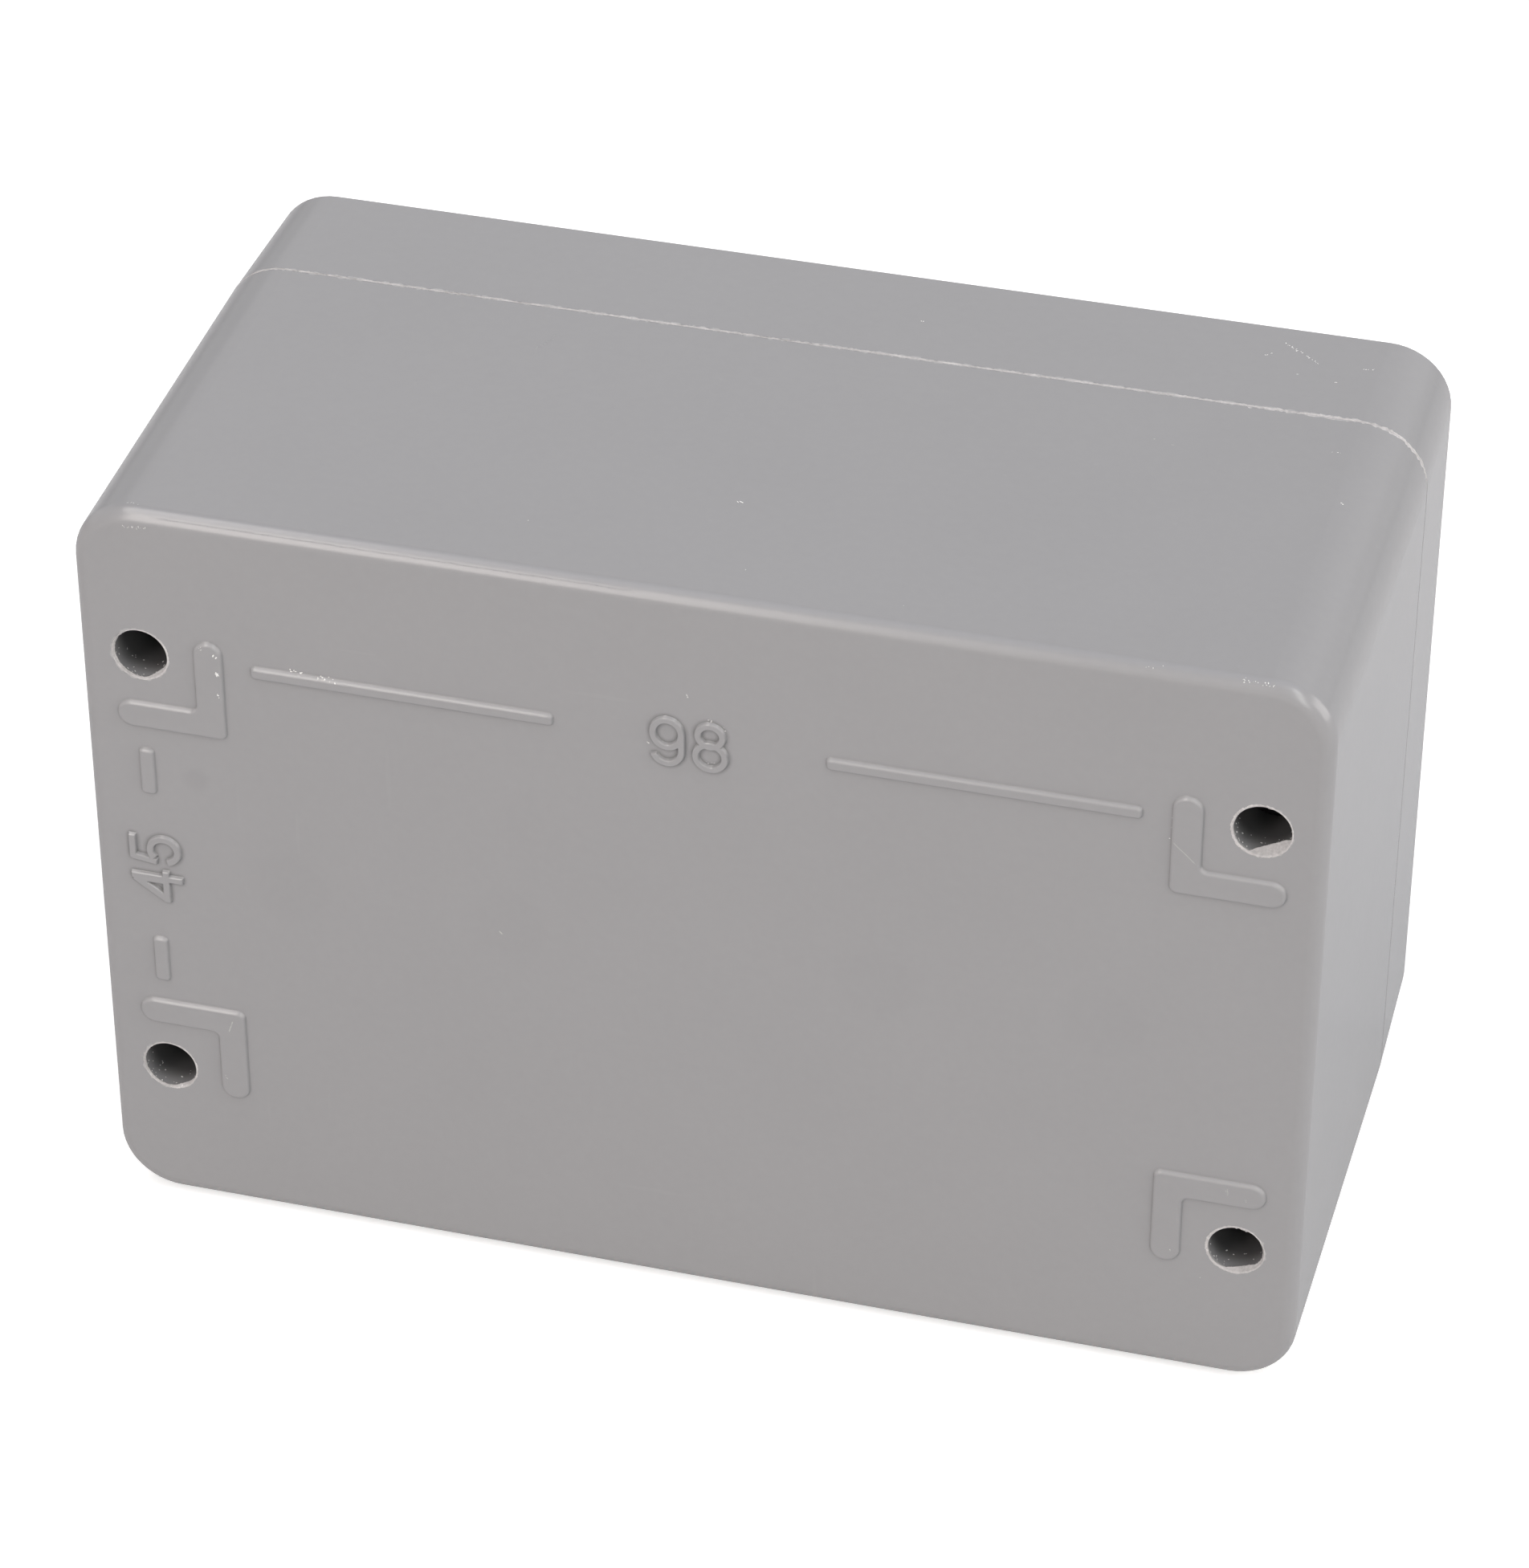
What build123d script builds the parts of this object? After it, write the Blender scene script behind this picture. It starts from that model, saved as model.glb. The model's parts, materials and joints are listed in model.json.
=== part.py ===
from build123d import *
import math
import os

# A small wall-mounted enclosure in glass-fibre-reinforced polyester: a deep base, a shallow lid,
# a gasket in a tongue and groove, and four captive screws.
# Each piece is drawn in the mould's frame: x along the box, y up its width, z from the back face
# towards the lid. At the end it is stood on its long side: the back faces +Y and the lid -Y.
# All sizes are in millimetres and all angles in degrees.

# Outside of the box, measured at the parting plane between base and lid
LENGTH = 110.0
WIDTH = 75.0
BASE_DEPTH = 40.8
LID_DEPTH = 14.2
CORNER_RADIUS = 6.1
BASE_DRAFT = 0.6
LID_DRAFT = 1.1
BACK_EDGE_RADIUS = 1.3
FRONT_EDGE_RADIUS = 0.3
PARTING_CHAMFER = 0.15

# Walls and hollow
RIM_WALL = 3.8
FLOOR = 3.5
LID_FACE = 3.2
INSIDE_DRAFT = 0.9
HOLLOW_CORNER_RADIUS = 2.8
BLOCK_CORNER_RADIUS = 3.6
FLOOR_FILLET = 1.5
CEILING_FILLET = 1.0

# Wall fixing holes in the back, reached through a channel in each corner block, and how far
# their axes lie in from the ends and the sides of the box
HOLE_INSET_X = 6.0
HOLE_INSET_Y = 15.0
HOLE_DIAMETER = 5.0
HOLE_LENGTH = 6.0
CHANNEL_DIAMETER = 7.6

# Sealing tongue on the base, groove and gasket in the lid
TONGUE_SETBACK = 0.9
TONGUE_WIDTH = 1.4
TONGUE_HEIGHT = 1.6
TONGUE_EDGE_CHAMFER = 0.3
GROOVE_CLEARANCE = 0.4
GASKET_THICKNESS = 1.0
GASKET_LIP = 0.3
GASKET_LIP_GAP = 0.12
LID_LAND = 0.8

# Captive lid screws, M4, in line with the fixing holes
SCREW_INSET_Y = 6.0
THREAD_DIAMETER = 3.6
THREAD_LENGTH = 6.0
THREAD_CHAMFER = 0.5
NECK_DIAMETER = 3.0
HEAD_DIAMETER = 7.0
HEAD_HEIGHT = 2.6
HEAD_EDGE_CHAMFER = 0.3
HEAD_SINK = 0.8
SLOT_WIDTH = 1.2
SLOT_DEPTH = 1.1
WELL_DIAMETER = 8.5
WELL_FLOOR = 2.6
SHANK_HOLE_DIAMETER = 4.5

# Nylon washer that keeps each screw in the lid, and the recess that it travels in
WASHER_DIAMETER = 7.0
WASHER_THICKNESS = 1.0
WASHER_BORE_CLEARANCE = 0.05
WASHER_STANDOFF = 0.3
RECESS_DIAMETER = 8.0

# Brass inserts for the lid screws
LID_INSERT_DIAMETER = 5.8
LID_INSERT_LENGTH = 8.0
LID_INSERT_SINK = 0.4
LID_INSERT_END = 1.0
THREAD_CLEARANCE = 0.06
INSERT_WAIST_DEPTH = 0.4
INSERT_WAIST_LENGTH = 1.5
INSERT_MOUTH_CHAMFER = 0.35

# Floor bosses with brass inserts, in one row along the middle of the back
BOSS_TIP_DIAMETER = 7.2
BOSS_HEIGHT = 8.0
BOSS_ROOT_CHAMFER = 0.8
OUTER_BOSS_PITCH = 73.0
INNER_BOSS_PITCH = 33.0
PLATE_INSERT_DIAMETER = 4.6
PLATE_INSERT_LENGTH = 6.0
PLATE_INSERT_END = 0.8
PLATE_INSERT_BORE = 2.5

# Raised marks on the back: a bracket round each fixing hole and two broken dimension lines
MARK_HEIGHT = 0.35
MARK_SIDE_ANGLE = 22.0
MARK_EDGE_RADIUS = 0.3
BRACKET_WIDTH = 2.7
BRACKET_LEG = 10.0
BRACKET_OUTER_RADIUS = 0.7
BRACKET_INNER_RADIUS = 0.6
LONG_LINE_START = 11.9
LONG_LINE_HOLE_GAP = 10.05
LONG_LINE_WIDTH = 1.25
SHORT_LINE_START = 7.85
SHORT_LINE_HOLE_GAP = 9.8
SHORT_LINE_WIDTH = 1.45
LINE_END_RADIUS = 0.45

# What follows from the sizes above
DEPTH = BASE_DEPTH + LID_DEPTH
CHANNEL_RADIUS = CHANNEL_DIAMETER / 2
HOLLOW_X = LENGTH / 2 - RIM_WALL
HOLLOW_Y = WIDTH / 2 - RIM_WALL
HOLE_X = LENGTH / 2 - HOLE_INSET_X
HOLE_Y = WIDTH / 2 - HOLE_INSET_Y
SCREW_Y = WIDTH / 2 - SCREW_INSET_Y
BLOCK_X = HOLE_X - CHANNEL_RADIUS - RIM_WALL
BLOCK_Y = HOLE_Y - CHANNEL_RADIUS - RIM_WALL
GROOVE_START = TONGUE_SETBACK - GROOVE_CLEARANCE
GROOVE_END = TONGUE_SETBACK + TONGUE_WIDTH + GROOVE_CLEARANCE
GROOVE_DEPTH = TONGUE_HEIGHT + GASKET_THICKNESS
HEAD_SEAT = DEPTH - HEAD_SINK - HEAD_HEIGHT
RECESS_ROOF = HEAD_SEAT - WELL_FLOOR
WASHER_SEAT = BASE_DEPTH + WASHER_STANDOFF
THREAD_TIP = WASHER_SEAT - THREAD_LENGTH
LID_INSERT_TOP = BASE_DEPTH - LID_INSERT_SINK
BOSS_TOP = FLOOR + BOSS_HEIGHT

RIM_UP = Plane((0, 0, BASE_DEPTH))
RIM_DOWN = Plane((0, 0, BASE_DEPTH), x_dir=(1, 0, 0), z_dir=(0, 0, -1))
BACK_FACE = Plane((0, 0, 0), x_dir=(1, 0, 0), z_dir=(0, 0, -1))
STANDING = Pos(0, (DEPTH - MARK_HEIGHT) / 2, WIDTH / 2) * Rot(90, 0, 0)

SAME_PLACE = 0.01
FROM_BOTTOM = (Align.CENTER, Align.CENTER, Align.MIN)
FROM_TOP = (Align.CENTER, Align.CENTER, Align.MAX)

CORNERS = [(1, 1), (-1, 1), (-1, -1), (1, -1)]
FIXING_PLACES = [(sx * HOLE_X, sy * HOLE_Y) for sx, sy in CORNERS]
SCREW_PLACES = [(sx * HOLE_X, sy * SCREW_Y) for sx, sy in CORNERS]
BOSS_PLACES = [
    (-OUTER_BOSS_PITCH / 2, 0),
    (-INNER_BOSS_PITCH / 2, 0),
    (INNER_BOSS_PITCH / 2, 0),
    (OUTER_BOSS_PITCH / 2, 0),
]


# Outlines shared by both mouldings

def corners_at(sketch, x, y):
    """The sketch's corners that lie at x, y or at its mirror images."""
    return [v for v in sketch.vertices() if math.hypot(abs(v.X) - x, abs(v.Y) - y) < SAME_PLACE]


def box_outline():
    """Outline of the box at the parting plane."""
    return RectangleRounded(LENGTH, WIDTH, CORNER_RADIUS)


def hollow_outline(grow):
    """The hollow's cross-shaped outline, which steps round the corner blocks, grown by an offset."""
    long_x, short_x = HOLLOW_X + grow, BLOCK_X + grow
    long_y, short_y = HOLLOW_Y + grow, BLOCK_Y + grow
    cross = Rectangle(2 * long_x, 2 * short_y) + Rectangle(2 * short_x, 2 * long_y)
    cross = fillet(corners_at(cross, long_x, short_y), HOLLOW_CORNER_RADIUS + grow)
    cross = fillet(corners_at(cross, short_x, long_y), HOLLOW_CORNER_RADIUS + grow)
    return fillet(corners_at(cross, short_x, short_y), BLOCK_CORNER_RADIUS - grow)


def seal_ring(inner, outer):
    """A band that follows the hollow's outline between two offsets."""
    return hollow_outline(outer) - hollow_outline(inner)


# Base moulding

def base_shell():
    """Drafted outside with a rounded back edge, less the hollow."""
    outside = extrude(RIM_DOWN * box_outline(), BASE_DEPTH, taper=BASE_DRAFT)
    outside = fillet(outside.faces().sort_by(Axis.Z)[0].edges(), BACK_EDGE_RADIUS)
    outside = chamfer(outside.faces().sort_by(Axis.Z)[-1].edges(), PARTING_CHAMFER)
    hollow = extrude(RIM_DOWN * hollow_outline(0), BASE_DEPTH - FLOOR, taper=INSIDE_DRAFT)
    hollow = fillet(hollow.faces().sort_by(Axis.Z)[0].edges(), FLOOR_FILLET)
    return outside - hollow


def sealing_tongue():
    """Ridge on the rim that bites into the gasket."""
    band = seal_ring(TONGUE_SETBACK, TONGUE_SETBACK + TONGUE_WIDTH)
    tongue = extrude(RIM_UP * band, TONGUE_HEIGHT)
    return chamfer(tongue.faces().sort_by(Axis.Z)[-1].edges(), TONGUE_EDGE_CHAMFER)


def floor_boss():
    """One drafted boss with a bevelled root, standing on the floor."""
    root = BOSS_TIP_DIAMETER / 2 + BOSS_HEIGHT * math.tan(math.radians(INSIDE_DRAFT))
    boss = Pos(0, 0, FLOOR) * Cone(root, BOSS_TIP_DIAMETER / 2, BOSS_HEIGHT, align=FROM_BOTTOM)
    skirt = Cone(root + BOSS_ROOT_CHAMFER, root, BOSS_ROOT_CHAMFER, align=FROM_BOTTOM)
    return boss + Pos(0, 0, FLOOR) * skirt


def fixing_hole():
    """Wall fixing hole and the channel that leads to it from the rim."""
    hole = Cylinder(HOLE_DIAMETER / 2, HOLE_LENGTH, align=FROM_BOTTOM)
    channel = Cylinder(CHANNEL_RADIUS, BASE_DEPTH - HOLE_LENGTH, align=FROM_BOTTOM)
    return hole + Pos(0, 0, HOLE_LENGTH) * channel


def bracket():
    """Raised bracket in the first quadrant, over the inner walls of a corner block."""
    half = BRACKET_WIDTH / 2
    straight = BRACKET_LEG - half
    level = Rectangle(straight, BRACKET_WIDTH, align=(Align.MIN, Align.MIN))
    upright = Rectangle(BRACKET_WIDTH, straight, align=(Align.MIN, Align.MIN))
    ends = Pos(straight, half) * Circle(half) + Pos(half, straight) * Circle(half)
    shape = level + upright + ends
    shape = fillet(corners_at(shape, 0, 0), BRACKET_OUTER_RADIUS)
    shape = fillet(corners_at(shape, BRACKET_WIDTH, BRACKET_WIDTH), BRACKET_INNER_RADIUS)
    return Pos(BLOCK_X, BLOCK_Y) * shape


def line_mark(start, end, width):
    """A raised line along x, from one distance to another."""
    mark = RectangleRounded(end - start, width, LINE_END_RADIUS)
    return Pos((start + end) / 2, 0) * mark


def raised_marks():
    """Brackets round the fixing holes, and the dimension lines between them."""
    half = bracket() + mirror(bracket(), Plane.YZ)
    marks = half + mirror(half, Plane.XZ)
    long_line = line_mark(LONG_LINE_START, HOLE_X - LONG_LINE_HOLE_GAP, LONG_LINE_WIDTH)
    long_line = Pos(0, HOLE_Y) * long_line
    marks += long_line + mirror(long_line, Plane.YZ)
    short_line = line_mark(SHORT_LINE_START, HOLE_Y - SHORT_LINE_HOLE_GAP, SHORT_LINE_WIDTH)
    short_line = Pos(HOLE_X, 0) * Rot(0, 0, 90) * short_line
    marks += short_line + mirror(short_line, Plane.XZ)
    raised = extrude(Plane.XY * marks, -MARK_HEIGHT, taper=MARK_SIDE_ANGLE)
    tops = raised.faces().filter_by_position(Axis.Z, -MARK_HEIGHT - SAME_PLACE, -MARK_HEIGHT + SAME_PLACE)
    return fillet(tops.edges(), MARK_EDGE_RADIUS)


def base():
    moulding = base_shell() + sealing_tongue() + raised_marks()
    for x, y in BOSS_PLACES:
        moulding += Pos(x, y) * floor_boss()
        moulding -= Pos(x, y) * plate_insert_body()
    for x, y in FIXING_PLACES:
        moulding -= Pos(x, y) * fixing_hole()
    for x, y in SCREW_PLACES:
        moulding -= Pos(x, y) * lid_insert_pocket()
    return moulding


# Lid moulding

def lid_shell():
    """Drafted outside with a crisp front edge, less the hollow."""
    outside = extrude(RIM_UP * box_outline(), LID_DEPTH, taper=LID_DRAFT)
    outside = fillet(outside.faces().sort_by(Axis.Z)[-1].edges(), FRONT_EDGE_RADIUS)
    outside = chamfer(outside.faces().sort_by(Axis.Z)[0].edges(), PARTING_CHAMFER)
    hollow = extrude(RIM_UP * hollow_outline(-LID_LAND), LID_DEPTH - LID_FACE, taper=INSIDE_DRAFT)
    hollow = fillet(hollow.faces().sort_by(Axis.Z)[-1].edges(), CEILING_FILLET)
    return outside - hollow


def screw_passage():
    """Well for the head, hole for the shank, and the washer's recess behind them."""
    well_height = DEPTH - HEAD_SEAT
    well = Pos(0, 0, HEAD_SEAT) * Cylinder(WELL_DIAMETER / 2, well_height, align=FROM_BOTTOM)
    hole = Pos(0, 0, RECESS_ROOF) * Cylinder(SHANK_HOLE_DIAMETER / 2, WELL_FLOOR, align=FROM_BOTTOM)
    recess_height = RECESS_ROOF - BASE_DEPTH
    recess = Pos(0, 0, BASE_DEPTH) * Cylinder(RECESS_DIAMETER / 2, recess_height, align=FROM_BOTTOM)
    return well + hole + recess


def channel_core():
    """Recess that keeps the lid's corner hollow over each fixing channel."""
    core = Cylinder(CHANNEL_RADIUS, RECESS_ROOF - BASE_DEPTH, align=FROM_BOTTOM)
    return Pos(0, 0, BASE_DEPTH) * core


def lid():
    moulding = lid_shell() - extrude(RIM_UP * seal_ring(GROOVE_START, GROOVE_END), GROOVE_DEPTH)
    for x, y in SCREW_PLACES:
        moulding -= Pos(x, y) * screw_passage()
    for x, y in FIXING_PLACES:
        moulding -= Pos(x, y) * channel_core()
    return moulding


def lid_gasket():
    """Foam that fills the bottom of the groove, with lips squeezed up beside the tongue."""
    tongue_tip = RIM_UP.offset(TONGUE_HEIGHT)
    pad = extrude(tongue_tip * seal_ring(GROOVE_START, GROOVE_END), GASKET_THICKNESS)
    tongue_start = TONGUE_SETBACK - GASKET_LIP_GAP
    tongue_end = TONGUE_SETBACK + TONGUE_WIDTH + GASKET_LIP_GAP
    lips = seal_ring(GROOVE_START, tongue_start) + seal_ring(tongue_end, GROOVE_END)
    return pad + extrude(tongue_tip * lips, -GASKET_LIP)


# Turned pieces, each drawn on its own axis

def lid_screw():
    """Cheese head, waisted neck and threaded end in one piece, with a driver slot."""
    head = Pos(0, 0, HEAD_SEAT) * Cylinder(HEAD_DIAMETER / 2, HEAD_HEIGHT, align=FROM_BOTTOM)
    head = chamfer(head.edges().sort_by(Axis.Z)[-1], HEAD_EDGE_CHAMFER)
    slot = Pos(0, 0, HEAD_SEAT + HEAD_HEIGHT) * Box(
        HEAD_DIAMETER, SLOT_WIDTH, SLOT_DEPTH, align=(Align.CENTER, Align.CENTER, Align.MAX)
    )
    neck = Pos(0, 0, WASHER_SEAT) * Cylinder(NECK_DIAMETER / 2, HEAD_SEAT - WASHER_SEAT, align=FROM_BOTTOM)
    thread = Pos(0, 0, THREAD_TIP) * Cylinder(THREAD_DIAMETER / 2, THREAD_LENGTH, align=FROM_BOTTOM)
    thread = chamfer(thread.edges().sort_by(Axis.Z)[0], THREAD_CHAMFER)
    return head - slot + neck + thread


def retaining_washer():
    """Nylon washer on the neck, against the shoulder of the thread."""
    ring = Pos(0, 0, WASHER_SEAT) * Cylinder(WASHER_DIAMETER / 2, WASHER_THICKNESS, align=FROM_BOTTOM)
    bore = NECK_DIAMETER / 2 + WASHER_BORE_CLEARANCE
    return ring - Pos(0, 0, WASHER_SEAT) * Cylinder(bore, WASHER_THICKNESS, align=FROM_BOTTOM)


def insert_body(diameter, length, top):
    """Outside of a moulded-in insert: a cylinder with a waist that the resin grips."""
    body = Pos(0, 0, top) * Cylinder(diameter / 2, length, align=FROM_TOP)
    waist = Cylinder(diameter / 2 - INSERT_WAIST_DEPTH, INSERT_WAIST_LENGTH)
    band = Cylinder(diameter / 2, INSERT_WAIST_LENGTH) - waist
    return body - Pos(0, 0, top - length / 2) * band


def insert_bore(diameter, length, top):
    """Blind threaded hole with a lead-in."""
    bore = Pos(0, 0, top) * Cylinder(diameter / 2, length, align=FROM_TOP)
    mouth = diameter / 2 + INSERT_MOUTH_CHAMFER
    lead_in = Pos(0, 0, top) * Cone(diameter / 2, mouth, INSERT_MOUTH_CHAMFER, align=FROM_TOP)
    return bore + lead_in


def lid_insert_body():
    return insert_body(LID_INSERT_DIAMETER, LID_INSERT_LENGTH, LID_INSERT_TOP)


def lid_insert_pocket():
    """Room for the insert, and the short step above it up to the rim."""
    step = Pos(0, 0, BASE_DEPTH) * Cylinder(LID_INSERT_DIAMETER / 2, LID_INSERT_SINK, align=FROM_TOP)
    return lid_insert_body() + step


def lid_insert():
    bore_length = LID_INSERT_LENGTH - LID_INSERT_END
    bore = insert_bore(THREAD_DIAMETER + 2 * THREAD_CLEARANCE, bore_length, LID_INSERT_TOP)
    return lid_insert_body() - bore


def plate_insert_body():
    return insert_body(PLATE_INSERT_DIAMETER, PLATE_INSERT_LENGTH, BOSS_TOP)


def plate_insert():
    bore = insert_bore(PLATE_INSERT_BORE, PLATE_INSERT_LENGTH - PLATE_INSERT_END, BOSS_TOP)
    return plate_insert_body() - bore


# Every node by name, stood up in the part's own frame

def nodes():
    pieces = {"base": base(), "lid": lid(), "lid_gasket": lid_gasket()}
    for number, (x, y) in enumerate(SCREW_PLACES, 1):
        pieces[f"lid_screw_{number}"] = Pos(x, y) * lid_screw()
        pieces[f"retaining_washer_{number}"] = Pos(x, y) * retaining_washer()
        pieces[f"lid_insert_{number}"] = Pos(x, y) * lid_insert()
    for number, (x, y) in enumerate(BOSS_PLACES, 1):
        pieces[f"plate_insert_{number}"] = Pos(x, y) * plate_insert()
    return pieces


os.makedirs("parts", exist_ok=True)
for name, piece in nodes().items():
    export_step(STANDING * piece, f"parts/{name}.step")
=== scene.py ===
"""A grey glass-polyester wall box, seen from behind: its mouldings, broken flash, figures, gasket,
captive screws, washers and inserts, dressed round the packed solids. Lengths are in metres in the
row's frame: the back of the box faces +Y, the lid -Y, and the box stands on its long side."""

import json
import math

import bpy
import bmesh
import numpy as np
from bpy.props import FloatProperty, FloatVectorProperty, IntProperty, PointerProperty
from mathutils import Matrix, Quaternion, Vector, noise


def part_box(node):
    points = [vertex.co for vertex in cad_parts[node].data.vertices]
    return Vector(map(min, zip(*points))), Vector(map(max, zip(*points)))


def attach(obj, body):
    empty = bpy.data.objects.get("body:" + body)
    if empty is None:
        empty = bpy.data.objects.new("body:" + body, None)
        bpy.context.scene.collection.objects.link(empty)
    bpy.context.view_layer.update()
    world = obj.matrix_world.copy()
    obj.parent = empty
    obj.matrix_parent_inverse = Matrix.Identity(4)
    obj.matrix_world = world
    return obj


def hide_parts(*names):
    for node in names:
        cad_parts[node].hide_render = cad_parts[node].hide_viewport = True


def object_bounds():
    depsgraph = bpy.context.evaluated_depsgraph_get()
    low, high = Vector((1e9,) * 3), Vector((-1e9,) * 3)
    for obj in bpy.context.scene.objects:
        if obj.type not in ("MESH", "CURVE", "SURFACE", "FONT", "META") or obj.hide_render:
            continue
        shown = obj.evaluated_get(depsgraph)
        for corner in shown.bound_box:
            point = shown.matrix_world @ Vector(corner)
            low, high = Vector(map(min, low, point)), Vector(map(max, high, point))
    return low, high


bl_info = {
    "name": "Fiberglass Enclosure",
    "version": (1, 0, 0),
    "blender": (4, 5, 0),
    "location": "View3D > Sidebar > Enclosure",
    "description": "Dresses a glass-polyester wall box with its finishes, flash, figures and fasteners",
    "category": "Object",
}

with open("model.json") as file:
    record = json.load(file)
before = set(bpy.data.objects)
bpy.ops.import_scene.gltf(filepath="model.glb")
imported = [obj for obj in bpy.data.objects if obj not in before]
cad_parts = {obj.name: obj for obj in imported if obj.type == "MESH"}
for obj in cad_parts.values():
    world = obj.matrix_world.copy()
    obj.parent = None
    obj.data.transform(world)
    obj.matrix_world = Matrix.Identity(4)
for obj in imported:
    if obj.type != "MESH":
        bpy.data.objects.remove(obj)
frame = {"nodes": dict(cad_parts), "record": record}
CAD_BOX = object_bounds()

MM = 0.001

# Places taken from the frame
BASE_LOW, BASE_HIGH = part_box("base")
MOUNTS = {mount["name"]: mount for mount in frame["record"]["mounts"]}
WALL_HOLES = MOUNTS["wall_holes"]
BACK = WALL_HOLES["pos_m"][1]
MIDDLE = WALL_HOLES["pos_m"][2]
HOLE_X = WALL_HOLES["dims"]["spacing_x_mm"] / 2 * MM
HOLE_Z = WALL_HOLES["dims"]["spacing_y_mm"] / 2 * MM
HOLE_RADIUS = WALL_HOLES["dims"]["hole_r_mm"] * MM
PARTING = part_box("lid")[1].y
TOP = BASE_HIGH.z
PLATE_HOLES = (MOUNTS["plate_holes_inner"], MOUNTS["plate_holes_outer"])
PLATE_X = sorted(mount["dims"]["spacing_x_mm"] / 2 * MM for mount in PLATE_HOLES)
CORNERS = ((1, 1), (-1, 1), (-1, -1), (1, -1))
NUMBERS = range(1, len(CORNERS) + 1)


def middle_of(node):
    low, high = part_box(node)
    return (low + high) / 2


SCREW_X = middle_of("lid_screw_1").x
SCREW_Z = middle_of("lid_screw_1").z - MIDDLE

# Outline of the box at the parting plane
CORNER_RADIUS = 6.1 * MM

# Camera of the photograph
CAMERA_PLACE = (-0.1092, 0.408025, 0.3401)
CAMERA_TARGET = (0.00043, 0.0014, 0.0375)
CAMERA_ROLL = 0.09
CAMERA_LENS = 132.49
SENSOR_WIDTH = 36.0


# Settings that a user would change


def length_of(name, description, default, precision=5):
    return FloatProperty(
        name=name, description=description, default=default, unit="LENGTH", precision=precision,
    )


def power_of(name, description, default):
    return FloatProperty(name=name, description=description, default=default, min=0.0, unit="POWER")


class MouldingFinish(bpy.types.PropertyGroup):
    """Finish of the two grey mouldings."""

    colour: FloatVectorProperty(
        name="Resin colour", description="Grey of the moulded resin", subtype="COLOR",
        size=3, min=0.0, max=1.0, default=(0.335, 0.331, 0.338),
    )
    roughness: FloatProperty(
        name="Roughness", description="Sheen of the moulded skin", default=0.21, min=0.05, max=1.0,
    )
    edge_radius: length_of("Edge radius", "Softness of the moulded edges", 0.22 * MM)
    mottle: FloatProperty(
        name="Mottle", description="Unevenness of the grey", default=0.022, min=0.0, max=0.5,
    )


class FigureSizes(bpy.types.PropertyGroup):
    """Raised figures of the two dimension lines."""

    relief: length_of("Relief", "Height of the figures over the back", 0.33 * MM)
    top_width: length_of("Top width", "Width of a stroke's flat top", 0.48 * MM)
    foot_width: length_of("Foot width", "Width of a stroke where it leaves the back", 0.70 * MM)
    step: length_of("Mesh step", "Spacing of the points in a figure", 0.05 * MM, precision=6)


class FlashSizes(bpy.types.PropertyGroup):
    """Broken flash round the fixing holes and along the parting line."""

    lip_width: length_of("Lip width", "Width of the broken lip round a hole", 0.15 * MM)
    film_depth: length_of("Film depth", "How far the broken film lies behind the back", 0.20 * MM)
    raggedness: length_of("Raggedness", "Unevenness of the broken edges", 0.10 * MM)
    seam_width: length_of("Seam width", "Width of the flash on each side of the parting", 0.18 * MM)
    seam_step: length_of("Seam step", "Spacing of the points along the parting line", 0.16 * MM)


class ThreadSizes(bpy.types.PropertyGroup):
    """Threads of the lid screws and of the inserts."""

    lid_pitch: length_of("Lid screw pitch", "Pitch of their thread, as the joints are coupled", 0.7 * MM)
    lid_diameter: length_of("Lid screw diameter", "Outside diameter of their thread", 3.94 * MM)
    plate_pitch: length_of("Plate insert pitch", "Pitch of the thread in the floor bosses", 0.5 * MM)
    plate_diameter: length_of("Plate insert diameter", "Outside diameter of their thread", 3.0 * MM)
    segments: IntProperty(
        name="Segments", description="Facets round a turned piece", default=48, min=12, max=128,
    )


class StageLight(bpy.types.PropertyGroup):
    """Lamps, world and floor."""

    front_strip: power_of("Front strip", "Power of the strip low at the picture's left", 7.6)
    upper_strip: power_of("Upper strip", "Power of the strip above, at the picture's left", 4.9)
    right_softbox: power_of("Right softbox", "Power of the softbox above, at the picture's right", 7.6)
    side_softbox: power_of("Side softbox", "Power of the large softbox at the picture's right", 12.2)
    top_softbox: power_of("Top softbox", "Power of the large softbox overhead", 4.3)
    lid_softbox: power_of("Lid softbox", "Power of the large softbox on the lid's side", 1.9)
    left_softbox: power_of("Left softbox", "Power of the weak softbox at the picture's left", 1.1)
    world_strength: FloatProperty(
        name="World", description="Strength of the even light from all round", default=0.06, min=0.0,
    )
    world_reflection: FloatProperty(
        name="World in reflections", description="Strength of the world where a surface mirrors it",
        default=0.70, min=0.0,
    )
    world_colour: FloatVectorProperty(
        name="World colour", description="Colour of the even light", subtype="COLOR",
        size=3, min=0.0, max=1.0, default=(1.0, 1.0, 1.0),
    )
    floor_colour: FloatVectorProperty(
        name="Floor colour", description="Colour of the floor", subtype="COLOR",
        size=3, min=0.0, max=1.0, default=(0.80, 0.80, 0.80),
    )


# Node trees

FLOAT, VECTOR = "NodeSocketFloat", "NodeSocketVector"
NODES_IN_COLUMN, COLUMN_STEP, ROW_STEP = 5, 220, 200


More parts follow.
